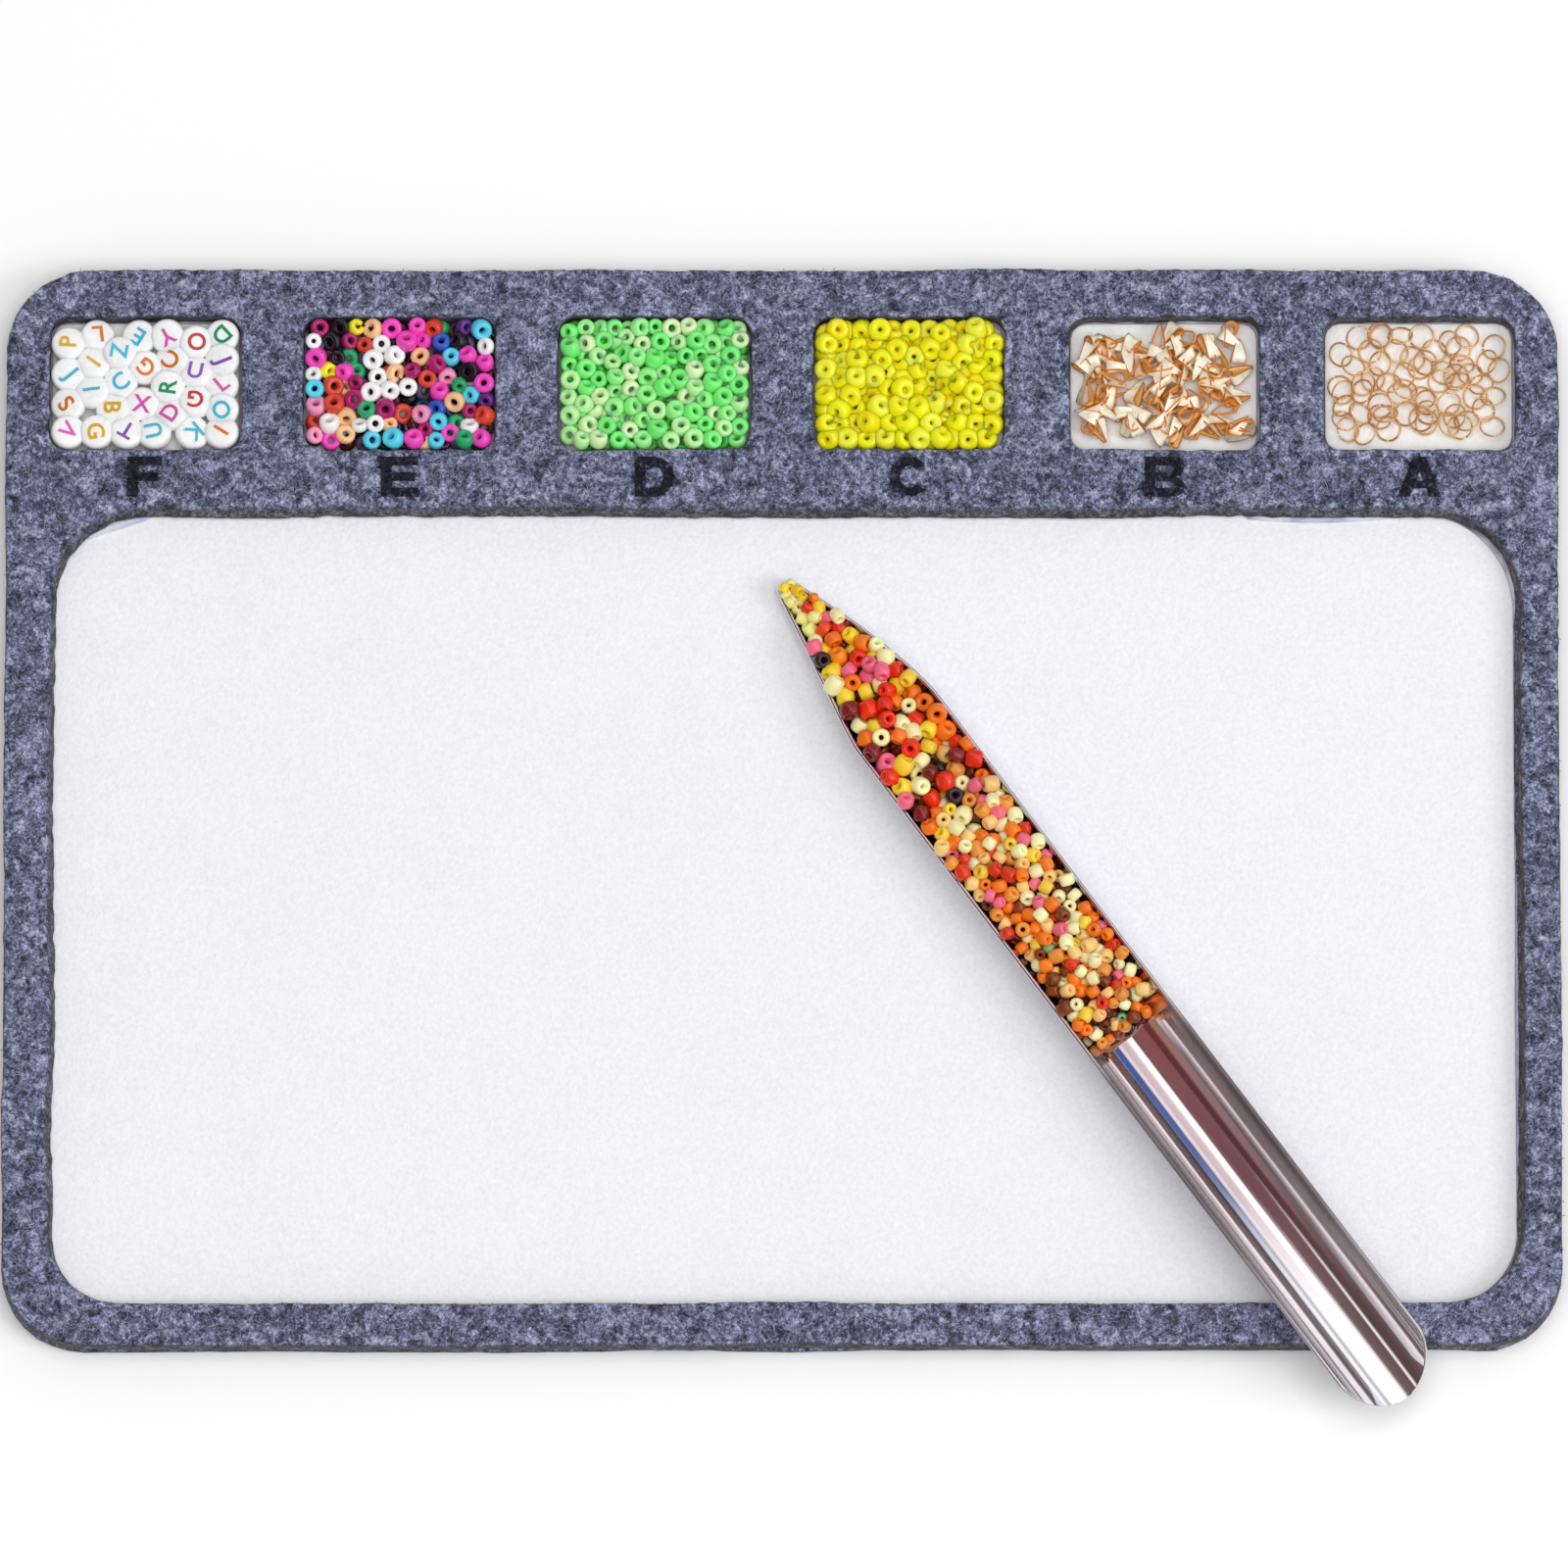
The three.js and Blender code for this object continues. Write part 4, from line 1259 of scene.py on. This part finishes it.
def load_colors(rng, along):
    """A colour for each bead by its place along the scoop."""
    zones = np.digitize(load_share(along) + rng.normal(0, LOAD_ZONE_BLUR, len(along)), LOAD_ZONES)
    colors = np.zeros((len(along), 4))
    for zone, palette in enumerate(LOAD_PALETTES):
        chosen = zones == zone
        colors[chosen] = palette_colors(rng, palette, chosen.sum(), LOAD_SHADE_SPREAD)
    return colors


def add_scoop_beads():
    rng = np.random.default_rng(47)
    spout = LOAD_START + (SPOUT_LENGTH - LOAD_START) * rng.uniform(0, 1, SPOUT_LOAD_COUNT) ** 0.5
    along = np.concatenate([spout, rng.uniform(SPOUT_LENGTH, LOAD_END, LOAD_COUNT - SPOUT_LOAD_COUNT)])
    sizes = np.interp(load_share(along), *zip(*LOAD_SIZES)) * rng.uniform(*LOAD_SIZE_SPREAD, LOAD_COUNT)
    radii = sizes / 2 * LOAD_TIGHTNESS
    side = rng.uniform(*LOAD_DROP_SIDE, LOAD_COUNT)
    start = np.column_stack([along, side, rng.uniform(*LOAD_DROP, LOAD_COUNT)])

    def contain(points):
        points[:, 0] = np.clip(points[:, 0], LOAD_START + radii, LOAD_END - radii)
        radius = scoop_radius(points[:, 0])
        over_rim = np.clip(points[:, 2] - rim_height(points[:, 0]), 0, 1)
        inner = radius - SCOOP_WALL - sizes / 2 - LOAD_GAP + RIM_SPREAD * over_rim
        low = np.minimum(points[:, 2] - radius, 0)
        distance = np.hypot(points[:, 1], low) + TINY
        pull = np.minimum(1, np.maximum(inner, LEAST_REACH) / distance)
        points[:, 1] *= pull
        points[:, 2] += low * (pull - 1)
        return points

    places = settle(rng, start, radii, contain, SETTLE_ROUNDS)
    level = rim_height(places[:, 0]) + LOAD_HEAP
    level *= np.clip((LOAD_END - places[:, 0]) / LOAD_SLOPE, LOAD_END_SHARE, 1)
    kept = (places[:, 2] + sizes / 2 < level) & (scoop_world(places)[:, 2] + sizes / 2 < LOAD_TOP)
    places, sizes = places[kept], sizes[kept]
    colors = load_colors(rng, places[:, 0])
    # Painted shade on the beads that lie under others.
    colors[under_others(places, sizes), :3] *= DEEP_LOAD_SHADE
    places[:, 1] += spout_lean(places[:, 0])
    turns = spread_turns(rng, len(sizes), math.pi)
    parts = bead_parts(rng, LOAD_SHAPES, sizes, colors)
    shape = scattered(parts, scoop_world(places), scoop_axes @ turns)
    make_piece("scoop_seed_beads", shape, SEED_SOLID, "scoop_load", "scoop_beads")


# Carried-over solids

def dress_solids():
    dresses = [("letter_" + label, LETTER, "letter_film") for label in WELL_LABELS]
    for name, material, slot in [*dresses, ("adhesive_film", FILM, "film")]:
        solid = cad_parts[name]
        solid.data.materials.clear()
        solid.data.materials.append(material)


# Studio

def add_floor():
    corners = [(x * FLOOR_HALF, y * FLOOR_HALF, -FLOOR_DROP) for x, y in ((-1, -1), (1, -1), (1, 1), (-1, 1))]
    floor = make_mesh("table", corners, [(0, 1, 2, 3)], Look("pale_floor").shade(WHITE, 0.9, 0))


def add_card(name, glow, front, tail):
    """A card along the scoop that only shows in reflections.

    Its stops are (angle from the zenith, red, green, blue), or the angle alone where it is brightly lit.
    """
    points, colors = [], []
    for reach, stops in zip(CARD_STATIONS, (front, front, glow, front, front, tail, tail)):
        for degrees, *color in stops:
            angle = math.radians(degrees)
            spoke = math.sin(angle) * scoop_axes[:, 1] + [0, 0, math.cos(angle)]
            points.append(scoop_origin * MM + CARD_RADIUS * spoke + reach * scoop_axes[:, 0])
            colors.append(srgb(*color) if color else CARD_LIT)
    ids = np.arange(len(points)).reshape(-1, len(front))
    card = make_mesh(name, points, grid_faces(ids), card_material(name))
    paint_points(card, colors)
    put(card, visible_camera=False, visible_diffuse=False, visible_shadow=False, visible_transmission=False)


def add_cards():
    """Coloured cards above and beside the scoop, so that its polished gutter shows bands."""
    front_right = [
        (-3, 128, 88, 92), (3, 128, 88, 92), (6,), (16,), (22, 236, 210, 213),
        (35, 220, 198, 202), (40, 255, 244, 246), (44, 250, 236, 240), (48, 78, 96, 154), (60, 70, 102, 170),
        (66, 120, 142, 192), (70, 226, 222, 228), (78, 122, 110, 114), (98, 108, 96, 100),
    ]
    tail_right = [
        (-3, 150, 130, 132), (-1, 236, 228, 230), (4,), (14,), (22,),
        (36,), (42,), (46, 212, 210, 212), (51, 210, 212, 218), (56,),
        (66, 236, 238, 244), (70, 240, 240, 244), (78, 170, 174, 190), (98, 146, 150, 170),
    ]
    glow_left = [
        (-3, 170, 104, 98), (-6, 168, 96, 92), (-30, 160, 86, 84), (-34, 126, 52, 50),
        (-46, 134, 58, 46), (-54, 196, 128, 84), (-98, 150, 96, 66),
    ]
    front_left = [
        (-3, 122, 84, 88), (-6, 124, 84, 88), (-30, 132, 90, 94), (-34, 92, 54, 58),
        (-46, 96, 58, 62), (-54, 160, 124, 124), (-98, 138, 116, 120),
    ]
    tail_left = [
        (-3, 150, 130, 132), (-8, 124, 104, 106), (-28, 112, 92, 94), (-32,),
        (-38, 96, 78, 78), (-54, 100, 78, 78), (-98, 140, 126, 132),
    ]
    add_card("card_right", front_right, front_right, tail_right)
    add_card("card_left", glow_left, front_left, tail_left)


def aimed(name, data, place, direction):
    """A new lamp or camera that looks in that direction."""
    turn = direction.to_track_quat("-Z", "Y").to_euler()
    return put(link(name, data), location=place, rotation_euler=turn)


def add_area(name, place, size, power):
    light = put(bpy.data.lights.new(name, "AREA"), shape="SQUARE", size=size, energy=power)
    return put(aimed(name, light, place, -Vector(place)), visible_camera=False)


def add_lights():
    world = put(bpy.data.worlds.new("studio"), use_nodes=True)
    sky = world.node_tree.nodes["Background"].inputs
    sky["Color"].default_value = WHITE
    sky["Strength"].default_value = SKY_STRENGTH
    bpy.context.scene.world = world
    overhead = add_area("overhead", place=(0.1, -0.15, 2.4), size=1.8, power=28)
    overhead.visible_glossy = False
    add_area("right_key", place=(2.4, -0.85, 2.1), size=1.4, power=32)


def add_camera():
    lens = SENSOR_WIDTH * VIEW_DISTANCE / VIEW_WIDTH
    camera = bpy.data.cameras.new("camera")
    put(camera, sensor_width=SENSOR_WIDTH, lens=lens, clip_start=0.1, clip_end=100)
    back = Vector((0, -math.sin(VIEW_TILT), math.cos(VIEW_TILT)))
    place = Vector(VIEW_CENTRE) * MM + back * VIEW_DISTANCE * MM
    bpy.context.scene.camera = aimed("camera", camera, place, -back)


add_felt_frame()
add_sheets()
add_film_slivers()
add_surface_fibres()
add_edge_fibres()
add_letter_fibres()
add_seed_fills()
add_letter_beads()
add_jump_rings()
add_folded_findings()
add_scoop()
add_scoop_beads()
dress_solids()
add_floor()
add_cards()
add_lights()
add_camera()
bpy.context.scene.view_settings.view_transform = "Standard"
